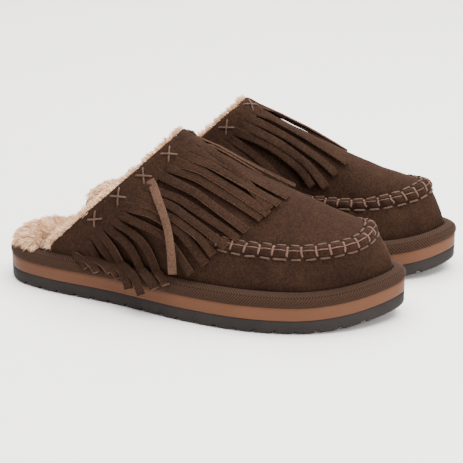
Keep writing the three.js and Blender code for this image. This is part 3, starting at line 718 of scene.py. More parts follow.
def braid_finish(name, ribs, groove_shade):
    """Woven polyester herringbone tape: matt ribs, with painted shade in the grooves between them. Its yarns
    are 0.4 mm.
    """
    finish, tree, shader = new_finish(name, 0.85, Sheen_Weight=0.04, Specular_IOR_Level=0.08)
    rib = add_node(tree, "ShaderNodeAttribute", {"attribute_name": "rib"}).outputs["Fac"]
    place = add_node(tree, "ShaderNodeTexCoord").outputs["Object"]
    yarn = add_node(
        tree, "ShaderNodeTexNoise", None, {"Vector": place, "Scale": 1 / (0.8 * MM), "Detail": 2.0}
    )
    mixed = add_node(
        tree, "ShaderNodeMath", {"operation": "MULTIPLY_ADD"}, {0: yarn.outputs["Fac"], 1: 0.5, 2: rib}
    )
    eased = add_node(tree, "ShaderNodeMath", {"operation": "SUBTRACT"}, {0: mixed.outputs[0], 1: 0.25})
    # The rib height picks the colour: the braid's own colour on the ribs, painted shade in the grooves
    # between them.
    blend = add_node(
        tree, "ShaderNodeMix", {"data_type": "RGBA", "clamp_factor": True},
        {"Factor": eased.outputs[0], "A": opaque(groove_shade), "B": opaque(ribs)},
    )  # fmt: skip
    dress(tree, shader, blend.outputs["Result"], yarn.outputs["Fac"], 0.2, 0.6)
    return finish


def speckled_finish(name, roughness, low, high, tone, relief, grain=None, share=0.0, **sockets):
    """A surface that drifts between two tones, with a fine grain that may stand up in relief.

    tone and grain are (size in millimetres, detail), relief is (height in millimetres, strength),
    and share is how much of the grain shows in the colour.
    """
    finish, tree, shader = new_finish(name, roughness, **sockets)
    place = add_node(tree, "ShaderNodeTexCoord").outputs["Object"]
    drift, speck = (
        add_node(
            tree, "ShaderNodeTexNoise", None,
            {"Vector": place, "Scale": 1 / (across * MM), "Detail": detail},
        )
        for across, detail in (tone, grain or tone)
    )  # fmt: skip
    mixed = add_node(
        tree, "ShaderNodeMath", {"operation": "MULTIPLY_ADD"},
        {0: speck.outputs["Fac"], 1: share, 2: drift.outputs["Fac"]},
    )  # fmt: skip
    eased = add_node(tree, "ShaderNodeMath", {"operation": "SUBTRACT"}, {0: mixed.outputs[0], 1: share / 2})
    blend = add_node(
        tree, "ShaderNodeMix", {"data_type": "RGBA"},
        {"Factor": eased.outputs[0], "A": opaque(low), "B": opaque(high)},
    )  # fmt: skip
    dress(tree, shader, blend.outputs["Result"], speck.outputs["Fac"], *relief)
    return finish


def fibre_finish(name, tone):
    """One tone of fleece fibre: fully matt with a faint sheen. Its colour is the same all over."""
    return new_finish(
        name, 0.9, Sheen_Weight=0.3, Sheen_Roughness=0.4, Specular_IOR_Level=0.25, Base_Color=opaque(tone)
    )[0]


FLAT = (0.0, 0.0)  # no relief
finishes = {}


def mix_finishes(colours):
    """Makes every finish once."""
    tone = {name: tuple(getattr(colours, name)) for name in Colours.__annotations__}
    edge_low, edge_high = shades(tone["cut_edge"], 0.6, 1.3)
    foam_low, foam_high = shades(tone["foam"], 0.72, 1.25)
    rubber_low, rubber_high = shades(tone["rubber"], 0.75, 1.3)
    finishes.update(
        suede=suede_finish("suede_brushed", (tone["suede_dark"], tone["suede"], tone["suede_light"])),
        flesh=suede_finish("suede_cut_edge", (edge_low, tone["cut_edge"], edge_high)),
        thread=thread_finish("polyester_thread_waxed", tone["thread"]),
        # The bars' lacing is the same thread as the stitches, with a painted highlight in its lighter colour.
        lacing=thread_finish("polyester_thread_lacing", tone["lacing"]),
        # The braid gets painted shade in the grooves between its ribs.
        braid=braid_finish("polyester_herringbone_woven", tone["braid"], tone["braid_deep"]),
        # EVA foam, moulded: a satin skin with fine cells and slow drifts of tone.
        foam=speckled_finish("eva_foam_moulded", 0.55, foam_low, foam_high, (40, 3.0), (0.08, 0.5),
                             (0.9, 3.0), share=0.4, Specular_IOR_Level=0.14),
        # Carbon-filled rubber, moulded: matt charcoal with dusty patches and a fine grain.
        rubber=speckled_finish("rubber_moulded", 0.68, rubber_low, rubber_high, (14, 4.0), (0.12, 0.5),
                               (1.0, 3.0), Specular_IOR_Level=0.12),
        # Knitted fleece ground under its pile: soft curls, with a painted lighter colour where they stand up
        # and painted shade in the dips between them, as the colour follows the same noise as the relief.
        ground=speckled_finish("fleece_knitted_ground", 1.0, tone["fleece_deep"], tone["fleece"], (4, 4.0),
                               (1.5, 0.8), Sheen_Weight=0.4),
        # Three fibre tones: the fleece colour, a lighter copy as painted light, and a darker copy as painted
        # shade.
        fibre=fibre_finish("fleece_fibre", tone["fleece"]),
        fibre_pale=fibre_finish("fleece_fibre_pale", tone["fleece_pale"]),
        fibre_deep=fibre_finish("fleece_fibre_deep", tone["fleece_deep"]),
        # Expanded foam, pressed board and open-cell foam, all hidden under the fleece.
        core=speckled_finish("eva_foam_core", 0.9, linear("7c7f82"), linear("94989b"), (3, 3.0), FLAT),
        board=speckled_finish("leatherboard_pressed", 0.9, linear("a58e69"), linear("c4ad86"),
                              (1.5, 3.0), FLAT),
        cushion=speckled_finish("polyurethane_foam_open_cell", 0.9, linear("d8ccb2"), linear("efe6d2"),
                                (1.2, 3.0), FLAT),
    )  # fmt: skip


# ------------------------------------------------------------------ sole


def matched_sides(step):
    """The outline as lateral and medial points that share their x, from heel to toe."""
    outline = last.outline
    heel, toe = int(np.argmin(outline[:, 0])), int(np.argmax(outline[:, 0]))
    lateral = outline[heel : toe + 1]
    medial = np.vstack([outline[toe:], outline[: heel + 1]])[::-1]
    places, _ = even_places(lateral, step)
    x = np.interp(places, np.arange(len(lateral)), lateral[:, 0])
    x = np.append(x, lateral[-1, 0])
    sides = []
    for line in (lateral, medial):
        order = np.argsort(line[:, 0], kind="stable")
        y = np.interp(x, line[order, 0], line[order, 1])
        sides.append(np.column_stack([x, y]))
    sides[1][0], sides[1][-1] = sides[0][0], sides[0][-1]
    return sides


def sole_layer(section, step=1.0, relief=None):
    """A closed layer of the sole from its section: (inset, height) rows from bottom to top."""
    lateral, medial = matched_sides(step)
    count = len(lateral)
    around = np.vstack([lateral, medial[-2:0:-1]])
    tangent = unit(np.roll(around, -1, axis=0) - np.roll(around, 1, axis=0))
    out = np.column_stack([tangent[:, 1], -tangent[:, 0]])
    rings = []
    for inset, z in section:
        height = np.full(len(around), float(z))
        if relief is not None:
            height = np.maximum(height, relief(around[:, 0]))
        rings.append(last.ring(around, out, np.full(len(around), float(inset)), height))
    points = np.stack(rings)
    size = len(around)
    shape = Shape()
    k = np.arange(1, count - 1)
    partner = (size - k) % size
    low = np.column_stack([k[:-1], partner[:-1], partner[1:], k[1:]])
    tips = np.array([[0, partner[0], 1], [count - 1, count - 2, partner[-1]]])
    top = (len(section) - 1) * size
    sides = grid_faces(len(section), size, wrap_columns=True)[:, ::-1]
    faces = [sides, low, tips, low[:, ::-1] + top, tips[:, ::-1] + top]
    shape.add(points.reshape(-1, 3), faces)
    return shape


def tread_relief(x):
    """Height of the tread's underside: crosswise grooves with steep sides."""
    s = last.sole
    pitch, width, depth = (v / MM for v in (s.groove_pitch, s.groove_width, s.groove_depth))
    grooves = math.floor((2 * last.half - 2 * pitch) / pitch)
    nearest = np.round(x / pitch - 0.5 * (grooves % 2)) + 0.5 * (grooves % 2)
    nearest = np.clip(nearest, -grooves / 2, grooves / 2)
    away = np.abs(x - nearest * pitch)
    return depth * (1 - ease(width / 2 - 0.35, width / 2 + 0.25, away))


def braid_shape():
    """The herringbone braid over the platform's shoulder, with a rib height at every point."""
    s = last.sole
    knots = np.array(RAND_SECTION + RAND_SECTION[:1])
    run = np.concatenate([[0], np.cumsum(np.linalg.norm(np.diff(knots, axis=0), axis=1))])
    outside = run[7]
    along = np.concatenate([np.linspace(0, outside, 27), np.linspace(outside, run[-1], 10)[1:-1]])
    section = np.stack([np.interp(along, run, knots[:, k]) for k in (0, 1)], -1)
    smooth = section.copy()
    for _ in range(3):
        smooth[1:26] = (smooth[0:25] + 2 * smooth[1:26] + smooth[2:27]) / 4
    count = 2360
    points, out = last.loop(count)
    station = np.arange(count) * np.linalg.norm(points[1] - points[0])
    rib_pitch, relief = s.braid_rib / MM, s.braid_relief / MM
    whole = station[-1] + station[1]
    pitch = whole / round(whole / rib_pitch)
    middle = 0.5 * outside
    grid, ribs = [], []
    for (inset, z), u in zip(smooth, along):
        phase = (station + 0.9 * np.abs(u - middle)) / pitch
        rib = 0.5 + 0.5 * np.cos(2 * math.pi * phase)
        rib = np.where(abs(u - middle) < 0.25, 0.15, rib**0.8)
        edge = ease(0, 0.8, u) * (1 - ease(outside - 0.8, outside, u)) if u <= outside else 0.0
        rib = rib * edge
        wander = 0.25 * np.sin(station / 41.0) * edge
        up = np.interp(u, [0, middle, outside], [0, 0.45, 1])
        raised = rib * relief
        inward = inset - raised * (1 - 0.6 * up) - wander * 0.4
        grid.append(last.ring(points, out, inward, z + raised * 0.8 * up))
        ribs.append(rib)
    grid = np.stack(grid, 1)
    shape = Shape()
    shape.add(grid.reshape(-1, 3), grid_faces(*grid.shape[:2], wrap_rows=True, wrap_columns=True))
    return shape, np.stack(ribs, 1)


# ------------------------------------------------------------------ upper


SEAM_STEP = 0.5  # millimetres between two points of the seam


def seam_line():
    """The moccasin seam from its lateral end round the toe to its medial end."""
    end = last.upper.seam_end
    at = np.linspace(-end, end, 1601)
    lateral, medial = last.wall(False, np.abs(at), 1.0), last.wall(True, np.abs(at), 1.0)
    line = np.where((at < 0)[:, None], lateral, medial)
    places, _ = even_places(line, SEAM_STEP)
    index = np.arange(len(line))
    at = np.interp(places, index, at)
    line = np.stack([np.interp(places, index, line[:, k]) for k in range(3)], -1)
    kernel = np.ones(9) / 9
    padded = np.vstack([line[:1]] * 4 + [line] + [line[-1:]] * 4)
    line = np.stack([np.convolve(padded[:, k], kernel, "valid") for k in range(3)], -1)
    return at, line, np.arange(len(line)) * SEAM_STEP


def apron_tree():
    """The apron's surface, to find points on it."""
    at, across = np.meshgrid(np.linspace(1, 0.0, 170), np.linspace(0, 1, 91), indexing="ij")
    grid = last.apron(at, across)
    return BVHTree.FromPolygons(grid.reshape(-1, 3).tolist(), grid_faces(*grid.shape[:2]).tolist())


def seam_net(offsets):
    """The upper's surface beside the seam: run, points and normals at distances across it.

    Negative distances run down the wall, positive ones onto the apron.
    """
    at, line, run = seam_line()
    tangent = unit(np.gradient(line, axis=0))
    inward = unit(np.column_stack([-tangent[:, 1], tangent[:, 0], np.zeros(len(line))]))
    tree = apron_tree()
    net = np.empty((len(line), len(offsets), 3))
    for k, distance in enumerate(offsets):
        if distance <= 0:
            up = 1 + distance / (last.seam_rise(np.abs(at)) * 1.12)
            lateral, medial = last.wall(False, np.abs(at), up), last.wall(True, np.abs(at), up)
            net[:, k] = np.where((at < 0)[:, None], lateral, medial)
        else:
            for i, start in enumerate(line + inward * distance * 0.96 + [0, 0, 0.5]):
                net[i, k] = tree.find_nearest(Vector(start))[0]
    smooth = net.copy()
    for _ in range(6):
        smooth[1:-1] = (smooth[:-2] + 2 * smooth[1:-1] + smooth[2:]) / 4
    normals = grid_normals(smooth)
    normals *= np.sign(normals[..., 2].mean()) or 1
    for _ in range(2):
        normals[:, 1:-1] = unit(normals[:, :-2] + 2 * normals[:, 1:-1] + normals[:, 2:])
    return run, smooth, unit(normals)


def bar_places(run):
    """Where the bars cross the seam, and how far each place is through its stitch."""
    pitch = last.upper.stitch_pitch / MM
    count = max(1, round(run[-1] / pitch))
    pitch = run[-1] / count
    return np.arange(1, count) * pitch, (run / pitch) % 1.0, pitch


def pucker(near, phase):
    """How far the suede is drawn in beside the seam: most at a bar, none away from the seam."""
    return (0.35 + 0.65 * (0.5 + 0.5 * np.cos(2 * math.pi * phase))) * np.exp(-near / 3.6)


def vamp_shape(seed):
    """The side walls as one thick sheet, puckered under the seam."""
    way = np.linspace(-1, 1, 601)
    up = 1 - np.linspace(1, 0, 49) ** 1.15
    across, high = np.meshgrid(way, up, indexing="ij")
    lateral, medial = last.wall(False, np.abs(across), high), last.wall(True, np.abs(across), high)
    grid = np.where((across < 0)[..., None], lateral, medial)
    normal = grid_normals(grid)
    if normal[300, 24, 0] < 0:
        normal = -normal
    at, _, run = seam_line()
    _, phase, _ = bar_places(run)
    seam_phase = np.interp(way, at, phase)
    near = (1 - high) * last.seam_rise(np.abs(across)) * 1.12
    sewn = ease(last.upper.seam_end, last.upper.seam_end - 0.05, np.abs(across))
    drawn = 0.8 * pucker(near, seam_phase[:, None]) * sewn
    lumps = 0.45 * waves(grid, 46, seed) + 0.22 * waves(grid, 19, seed + 1)
    lumps *= ease(0, 0.25, high) * (1 - 0.7 * ease(0.9, 1, np.abs(across)))
    outer = grid + normal * (lumps - drawn)[..., None]
    shape = Shape()
    shape.add(*thick_sheet(outer, grid - normal * last.suede))
    return shape


def apron_shape(seed):
    """The apron as one thick sheet, gathered towards the seam."""
    at = np.linspace(0.0, 1, 241) ** 1.1
    across = 0.5 - 0.5 * np.cos(np.linspace(0, math.pi, 97))
    share_grid, over = np.meshgrid(at, across, indexing="ij")
    grid = last.apron(share_grid, over)
    normal = grid_normals(last.apron(np.clip(share_grid, 0.02, 1), np.clip(over, 0.002, 0.998)))
    normal *= np.sign(normal[120, 48, 2])
    _, line, run = seam_line()
    _, phase, _ = bar_places(run)
    flat = grid.reshape(-1, 3)
    near = np.full(len(flat), 1e9)
    which = np.zeros(len(flat), int)
    for i, q in enumerate(line[::4]):
        d = np.linalg.norm(flat - q, axis=1)
        closer = d < near
        near[closer], which[closer] = d[closer], i
    near = near.reshape(grid.shape[:2])
    local = phase[::4][which].reshape(grid.shape[:2])
    drawn = 0.8 * pucker(near, local) * ease(last.upper.seam_end, last.upper.seam_end - 0.05, share_grid)
    lumps = 0.5 * waves(grid, 52, seed) + 0.22 * waves(grid, 21, seed + 1)
    lumps *= ease(0, 8, near)
    outer = grid + normal * (lumps - drawn)[..., None]
    shape = Shape()
    shape.add(*thick_sheet(outer, grid - normal * last.suede))
    return shape


def cord_rings(path, normals, radius, around=8, flatten=0.85):
    """Rings of a thread along a path; flatten squashes it towards the surface."""
    tangent = unit(np.gradient(path, axis=0))
    side = unit(np.cross(normals, tangent))
    up = np.cross(tangent, side)
    angle = np.linspace(0, 2 * math.pi, around, endpoint=False)
    ring = side[:, None] * np.cos(angle)[:, None] + up[:, None] * np.sin(angle)[:, None] * flatten
    return path[:, None] + ring * radius


def welt_height(across, phase):
    """Height of the raised seam: pillows between the bars, drawn in at each bar."""
    half = last.upper.welt_width / MM / 2
    round_top = np.sqrt(np.clip(1 - (across / half) ** 2, 0, 1))
    between = 0.5 - 0.5 * np.cos(2 * math.pi * phase)
    crease = 0.35 * np.exp(-((across / 0.8) ** 2))
    return (0.5 + last.upper.welt_height / MM * (0.42 + 0.58 * between**0.55)) * round_top - crease


def welt_shape():
    """The raised seam: a puffed roll that covers the join of the wall and the apron."""
    half = last.upper.welt_width / MM / 2
    offsets = half * np.sin(np.linspace(-math.pi / 2, math.pi / 2, 25))
    run, net, normal = seam_net(offsets)
    _, phase, _ = bar_places(run)
    height = welt_height(offsets[None, :], phase[:, None])
    lumps = 0.12 * waves(net, 6, 5)
    top = net + normal * (height + lumps * (height > 0.6) - 0.1)[..., None]
    shape = Shape()
    shape.add(*thick_sheet(top, net - normal * 0.6))
    return shape


def lacing_shape(foot):
    """The bars that cross the seam and the thin line along its middle."""
    row = last.upper.stitch_row / MM
    offsets = np.linspace(-0.62 * row, 0.62 * row, 19)
    run, net, normal = seam_net(offsets)
    places, phase, _ = bar_places(run)
    rng = np.random.default_rng(40 + (foot == "left"))
    shape = Shape()
    radius = last.upper.thread / MM / 2
    for place in places:
        skew = rng.uniform(-0.5, 0.5)
        index = np.clip((place + skew * offsets / row) / SEAM_STEP, 0, len(run) - 1).round().astype(int)
        k = np.arange(len(offsets))
        dip = np.abs(offsets / offsets[-1]) ** 6
        raised = np.maximum(welt_height(offsets, phase[index]), 0.2) + radius * 0.55 - 1.0 * dip
        path = net[index, k] + normal[index, k] * raised[:, None]
        shape.add_tube(cord_rings(path, normal[index, k], radius))
    middle = len(offsets) // 2
    keep = slice(6, len(run) - 6, 2)
    line = net[:, middle] + normal[:, middle] * (welt_height(0.0, phase) - 0.12)[:, None]
    shape.add_tube(cord_rings(line[keep], normal[keep, middle], 0.36, around=6))
    return shape


def stitches_shape(foot, side):
    """One row of running stitches beside the seam: short thick dashes."""
    row = side * last.upper.stitch_row / MM
    run, net, normal = seam_net([row - 0.5, row, row + 0.5])
    places, _, pitch = bar_places(run)
    rng = np.random.default_rng(60 + (foot == "left") + 10 * side)
    shape = Shape()
    radius = last.upper.thread / MM / 2
    for place in np.append(places - pitch / 2, places[-1] + pitch / 2):
        reach = rng.uniform(0.33, 0.38) * pitch
        first, final = round((place - reach) / SEAM_STEP), round((place + reach) / SEAM_STEP)
        index = np.arange(max(1, first), min(len(run) - 1, final) + 1)
        if len(index) < 5:
            continue
        t = np.linspace(-1, 1, len(index))
        lift = radius * 0.75 - 1.1 * np.abs(t) ** 7
        drift = rng.uniform(-0.3, 0.3) * t
        path = net[index, 1] + normal[index, 1] * lift[:, None]
        path += unit(net[index, 2] - net[index, 0]) * drift[:, None]
        shape.add_tube(cord_rings(path, normal[index, 1], radius * rng.uniform(0.92, 1.08)))
    return shape


# ------------------------------------------------------------------ fringed collar


def collar_places(pitch, start):
    """Places round the top line a pitch apart: their v, distance from the lateral end, and the whole."""
    v = np.linspace(0.01, 0.99, 1500)
    line = last.skin(np.full(len(v), 1.0), v)
    places, run = even_places(line, pitch, start)
    return np.interp(places, np.arange(len(v)), v), np.interp(places, np.arange(len(v)), run), run[-1]


# What a strand does that is cut at a place on the lateral side of the right slipper: how much it is
# turned at its root in degrees, how fast it turns downhill, and its length in millimetres.
LATERAL_STRANDS = [
    (-10, 0.025, 19.9), (-17.6, 0.025, 27.1), (-6.9, 0.022, 32.4), (-7.2, 0.019, 38.6),
    (9.6, 0.022, 49.9), (5.8, 0.002, 56.6), (18, 0.003, 59.7), (29, 0.01, 64.3), (29.7, 0.002, 64),
    (34.3, 0, 66.9), (30.7, 0.002, 66.5), (28, 0.001, 67.3), (28.5, 0, 68.9), (-13.7, 0.01, 60),
    (20, 0, 66.1), (28, 0.002, 68), (26.1, 0.003, 67.9), (22.1, 0.002, 67.8), (15.1, 0.002, 67.7),
    (14, 0.01, 66.6),
]  # fmt: skip
FLIPPED = 13


STRAND_STEP = 1.5  # millimetres between two rings of a strand


def strand_path(tree, start, normal, heading, reach, sag, lift):
    """A strand laid on the form from its root: it turns downhill, and hangs free past an edge."""
    p, n, h = start.copy(), normal.copy(), heading.copy()
    path, normals = [p.copy()], [n.copy()]
    down = np.array([0.0, 0.0, -1.0])
    free = False
    for _ in range(int(round(reach / STRAND_STEP))):
        fall = down - n * (down @ n)
        h = unit(h + fall * sag * STRAND_STEP + (down * 0.05 * STRAND_STEP if free else 0))
        q = p + h * STRAND_STEP
        spot, out, _, _ = tree.find_nearest(Vector(q))
        spot, out = np.array(spot), np.array(out)
        away = q - spot
        clear = np.linalg.norm(away)
        if away @ out < 0 or clear < lift:
            push = out if away @ out < 0 or clear < 0.3 * lift else away / clear
            q = spot + push * lift
            n = unit(n * 0.7 + push * 0.3)
            free = False
        else:
            free = clear > lift + 0.5
            n = unit(n + out * (0.03 if free else 0.15))
        moved = unit(q - p)
        h = unit(h * 0.4 + moved * 0.6)
        n = unit(n - moved * (n @ moved))
        p = q
        path.append(p.copy())
        normals.append(n.copy())
    normals = np.array(normals)
    for _ in range(6):
        normals[1:-1] = unit(normals[:-2] + 2 * normals[1:-1] + normals[2:])
    return np.array(path), normals


def ease_path(path, rounds=4):
    """A path with its small kinks taken out; its ends stay."""
    path = path.copy()
    for _ in range(rounds):
        path[1:-1] = (path[:-2] + 2 * path[1:-1] + path[2:]) / 4
    return path


# A strand's section, as shares of its half width and half thickness, and its sides that are cut edges.
STRAND_SECTION = [
    (-1, 0), (-0.97, 0.8), (-0.86, 1), (-0.4, 1.06), (0, 1.08), (0.4, 1.06), (0.86, 1), (0.97, 0.8),
    (1, 0), (0.97, -0.8), (0.86, -1), (0, -1), (-0.86, -1), (-0.97, -0.8),
]  # fmt: skip
EDGE_SIDES = (0, 7, 8, 13)


def strand_rings(path, normals, width, thickness, roll, rng):
    """Rings of one strand: a flat strap with soft corners, its front edge lifted."""
    tangent = unit(np.gradient(path, axis=0))
    side = unit(np.cross(normals, tangent))
    up = np.cross(tangent, side)
    t = np.linspace(0, 1, len(path))
    run = np.arange(len(path)) * STRAND_STEP
    sway = np.sin(2 * math.pi * (t * rng.uniform(0.6, 1.2) + rng.uniform()))
    lean = roll * ease(3, 14, run) + 0.09 * sway * ease(4, 20, run)
    across = side * np.cos(lean)[:, None] + up * np.sin(lean)[:, None]
    above = np.cross(tangent, across)
    half = width / 2 * (1 + 0.04 * np.sin(t * 9 + rng.uniform(0, 6)) + 0.07 * (1 - ease(2, 18, run)))
    cup = 0.25 * np.sin(2 * math.pi * (t * 0.8 + rng.uniform())) * ease(4, 12, run)
    rings = []
    for a, h in STRAND_SECTION:
        bow = cup * (a * a - 0.4)
        rings.append(path + across * (a * half)[:, None] + above * (h * thickness / 2 + bow)[:, None])
    return np.stack(rings, 1)


def fringe_shape(foot, tree):
    """The slit collar: an uncut band and its strands."""
    s = last.fringe
    rng = np.random.default_rng(11 if foot == "right" else 23)
    shape = Shape()
    band, thick = s.band / MM, last.suede
    v, _, whole = collar_places(1.0, 0.0)
    points, normals = last.collar_run(v, band + 3, 1.0)
    depth = np.arange(points.shape[1]) * 1.0
    low = 0.5 + 0.15 * waves(points, 14, 3)
    bend = 0.9 * np.exp(-depth / 1.6)
    columns = int(round(band)) + 1
    outer = points + normals * (low + thick - bend)[..., None]
    inner = points + normals * (low - bend * 0.4)[..., None]
    sheet_points, sheet_faces = thick_sheet(outer[:, :columns], inner[:, :columns])
    tones = np.zeros(len(sheet_faces), int)
    tones[2 * (len(v) - 1) * (columns - 1) :] = 1
    shape.add(sheet_points, sheet_faces, tones)

    roots, distance, whole = collar_places(s.strand_pitch / MM, s.first_strand / MM)
    keep = distance < whole - 0.8 * s.first_strand / MM
    roots, distance = roots[keep], distance[keep]
    start_points, start_normals = last.collar_run(roots, band - 3, 0.5)
    usual = [k for k in range(len(LATERAL_STRANDS)) if k != FLIPPED]
    habit = np.array([LATERAL_STRANDS[k] for k in usual]).T
    for j in range(len(distance)):
        end_distance = min(distance[j], whole - distance[j])
        lateral = distance[j] < whole / 2
        hand = 1 if lateral else -1
        width = s.strand_width / MM * rng.uniform(0.9, 1.04)
        known = foot == "right" and lateral
        flesh = known and j == FLIPPED
        place = (end_distance - s.first_strand / MM) / (s.strand_pitch / MM)
        turn, sag, reach = [np.interp(place, usual, column) for column in habit]
        if flesh:
            turn, sag, reach = LATERAL_STRANDS[j]
        if not known:
            turn, sag = turn + rng.normal() * 2, max(sag, 0.008) * rng.uniform(0.8, 1.4)
            reach *= rng.uniform(0.95, 1.04)
        path0, n0 = start_points[j], start_normals[j]
        heading = unit(path0[-1] - path0[-3])
        n = n0[-1]
        angle = math.radians(turn * hand)
        heading = unit(heading * math.cos(angle) + np.cross(n, heading) * math.sin(angle))
        lift = 0.5 + thick / 2
        begin = path0[-1] + n * (lift + 0.06)
        roll = s.roll * rng.uniform(0.8, 1.3) * hand
        extra = abs(math.sin(roll)) * width / 2
        path, normal = strand_path(tree, begin, n, heading, reach + 3, sag, lift)
        travel = np.arange(len(path)) * STRAND_STEP
        path = ease_path(path)
        over = 2.6 if flesh else 0.45 * (j % 3)
        path = path + normal * (0.07 + extra * ease(2, 10, travel) + over * ease(3, 16, travel))[:, None]
        rings = strand_rings(path, normal, width, thick, -roll, rng)
        count = rings.shape[1]
        tone = np.zeros((len(path) - 1, count), int)
        tone[:, list(EDGE_SIDES)] = 1
        if flesh:
            tone[:] = 1
        shape.add_tube(rings, tone.ravel(), cap_tone=1)
    return shape


def cross_stitch_shape(foot):
    """Cross stitches over the collar band, where the frame has them."""
    s = last.fringe
    shape = Shape()
    rng = np.random.default_rng(77 + (foot == "left"))
    v, _, _ = collar_places(0.5, 0.0)
    points, normals = last.collar_run(v, 12, 0.5)
    flat, flat_n = points.reshape(-1, 3), normals.reshape(-1, 3)
    heading = unit(points[:, 2:] - points[:, :-2])
    heading = np.concatenate([heading[:, :1], heading, heading[:, -1:]], 1).reshape(-1, 3)
    radius = last.upper.thread / MM / 2 * 0.85
    for k in range(1, 10):
        low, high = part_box(f"{foot}_cross_stitch_{k}")
        centre = (np.array(low) + np.array(high)) / 2 / MM - last.origins[foot]
        centre[1] *= FEET[foot]
        near = int(np.argmin(np.linalg.norm(flat - centre, axis=1)))
        p, n, h = flat[near], flat_n[near], heading[near]
        side = unit(np.cross(n, h))
        for turn in (1, -1):
            arm = unit(side * math.cos(0.785) + h * turn * math.sin(0.785) + 0.08 * rng.normal(size=3))
            t = np.linspace(-1, 1, 17)
            reach = s.cross_span / MM / 2 * rng.uniform(0.95, 1.05)
            path = []
            for a in t:
                q = p + arm * a * reach
                j = int(np.argmin(np.linalg.norm(flat - q, axis=1)))
                path.append(q + flat_n[j] * ((flat[j] - q) @ flat_n[j]))
            path = ease_path(np.array(path), 3)
            over = (0.9 if turn > 0 else 0) * np.exp(-((t / 0.25) ** 2))
            lift = 0.5 + last.suede + radius * (0.55 + over) - np.abs(t) ** 8
            path = path + n * lift[:, None]
            shape.add_tube(cord_rings(path, np.tile(n, (17, 1)), radius))
    return shape


# ------------------------------------------------------------------ fleece


def pile(shape, roots, normals, comb, lengths, width, rng, pull=0.55, droop=0.25):
    """Adds fibres: flat tapering locks that gather into tufts and curl as they leave their ground."""
    count = len(roots)
    centres = rng.choice(count, max(1, count // 26), replace=False)
    owner = np.empty(count, int)
    for begin in range(0, count, 2000):
        block = roots[begin : begin + 2000]
        apart = ((block[:, None] - roots[centres][None]) ** 2).sum(-1)
        owner[begin : begin + 2000] = np.argmin(apart, axis=1)
    way = unit(normals + comb + 0.38 * rng.normal(size=(count, 3)))
    tuft_way = unit(normals + comb + 0.42 * rng.normal(size=(count, 3)))[centres]
    tip = roots + way * lengths[:, None]
    tuft_tip = roots[centres] + tuft_way * lengths[centres][:, None]
    pulled = tuft_tip[owner] - tip
    curl_way = unit(np.cross(way, rng.normal(size=(count, 3))))
    phase = rng.uniform(0, 2 * math.pi, count)
    blade = unit(np.cross(way, rng.normal(size=(count, 3))))
    thick = width * rng.uniform(0.7, 1.3, count)
    sides = []
    for t, taper in ((0, 1.0), (0.36, 0.95), (0.7, 0.7), (1.0, 0.16)):
        centre = roots + way * (lengths * t)[:, None] + pulled * (pull * t * t)
        centre = centre + curl_way * (0.07 * lengths * t * np.sin(4.5 * t + phase))[:, None]
        centre[:, 2] -= droop * lengths * t * t
        half = blade * (thick * taper / 2)[:, None]
        sides += [centre - half, centre + half]
    points = np.stack(sides, 1)
    corners = np.array([[0, 1, 3, 2], [2, 3, 5, 4], [4, 5, 7, 6]])
    faces = (np.arange(count)[:, None, None] * 8 + corners[None]).reshape(-1, 4)
    # Each fibre gets one of three tones at random: the fleece colour, its painted light copy, or its painted
    # shade copy.
    tone = np.repeat(rng.choice(3, count, p=(0.5, 0.3, 0.2)), 3)
    shape.add(points.reshape(-1, 3), faces, tone)


def sock_height(x, inside):
    """Height of the fleece ground: it sinks at the heel and rounds off at its edge."""
    top = np.interp(x, [-127, -116, -104, -80, -40], [30.2, 32.4, 34.4, 35.6, 36.2])
    return last.fleece_z - 3.5 + (top - last.fleece_z + 3.5) * np.clip(inside / 7, 0, 1) ** 0.5


def sock_grid():
    """The footbed's fleece ground: rows from heel to toe, each from side to side."""
    side = last.upper.inset / MM
    toe = side + last.suede + last.lining_depth + 3 * last.gap
    x = np.linspace(-last.half + side + 0.3, last.half - toe - 6, 150)
    inset = side - 0.2 + (toe - side) * ease(-110, -98, x)
    y = np.array([np.linspace(*rounded_inset(*row), 61) for row in zip(x, inset)])
    grid_x = np.broadcast_to(x[:, None], y.shape)
    edge = np.minimum(y - y[:, :1], y[:, -1:] - y)
    inside = np.minimum(edge, np.minimum(grid_x - x[0], x[-1] - grid_x))
    lumps = 0.8 * waves(np.stack([grid_x, y, y * 0], -1), 11, 9) * np.clip(inside / 4, 0, 1)
    return np.stack([grid_x, y, sock_height(grid_x, inside) + lumps], -1)


def rounded_inset(x, inset):
    """The two sides of the outline moved inwards, at one x."""
    points, out = last.loop(720)
    inner = points - out * inset
    sides = []
    for pick in (points[:, 1] < 0.85, points[:, 1] >= 0.85):
        line = inner[pick]
        order = np.argsort(line[:, 0])
        sides.append(np.interp(x, line[order, 0], line[order, 1]))
    return sides


def scatter(grid, weights, count, rng):
    """Random places over a grid of points, more where its cells weigh more: indices and blends."""
    a = grid[1:, :-1] - grid[:-1, :-1]
    b = grid[:-1, 1:] - grid[:-1, :-1]
    area = np.linalg.norm(np.cross(a, b), axis=-1) * weights[:-1, :-1]
    odds = (area / area.sum()).ravel()
    cell = rng.choice(len(odds), count, p=odds)
    i, k = np.divmod(cell, grid.shape[1] - 1)
    return i, k, rng.uniform(size=count), rng.uniform(size=count)


def blend_grid(grid, i, k, s, t):
    """Values of a grid at random places."""
    s, t = s[:, None], t[:, None]
    near = grid[i, k] * (1 - t) + grid[i, k + 1] * t
    far = grid[i + 1, k] * (1 - t) + grid[i + 1, k + 1] * t
    return near * (1 - s) + far * s


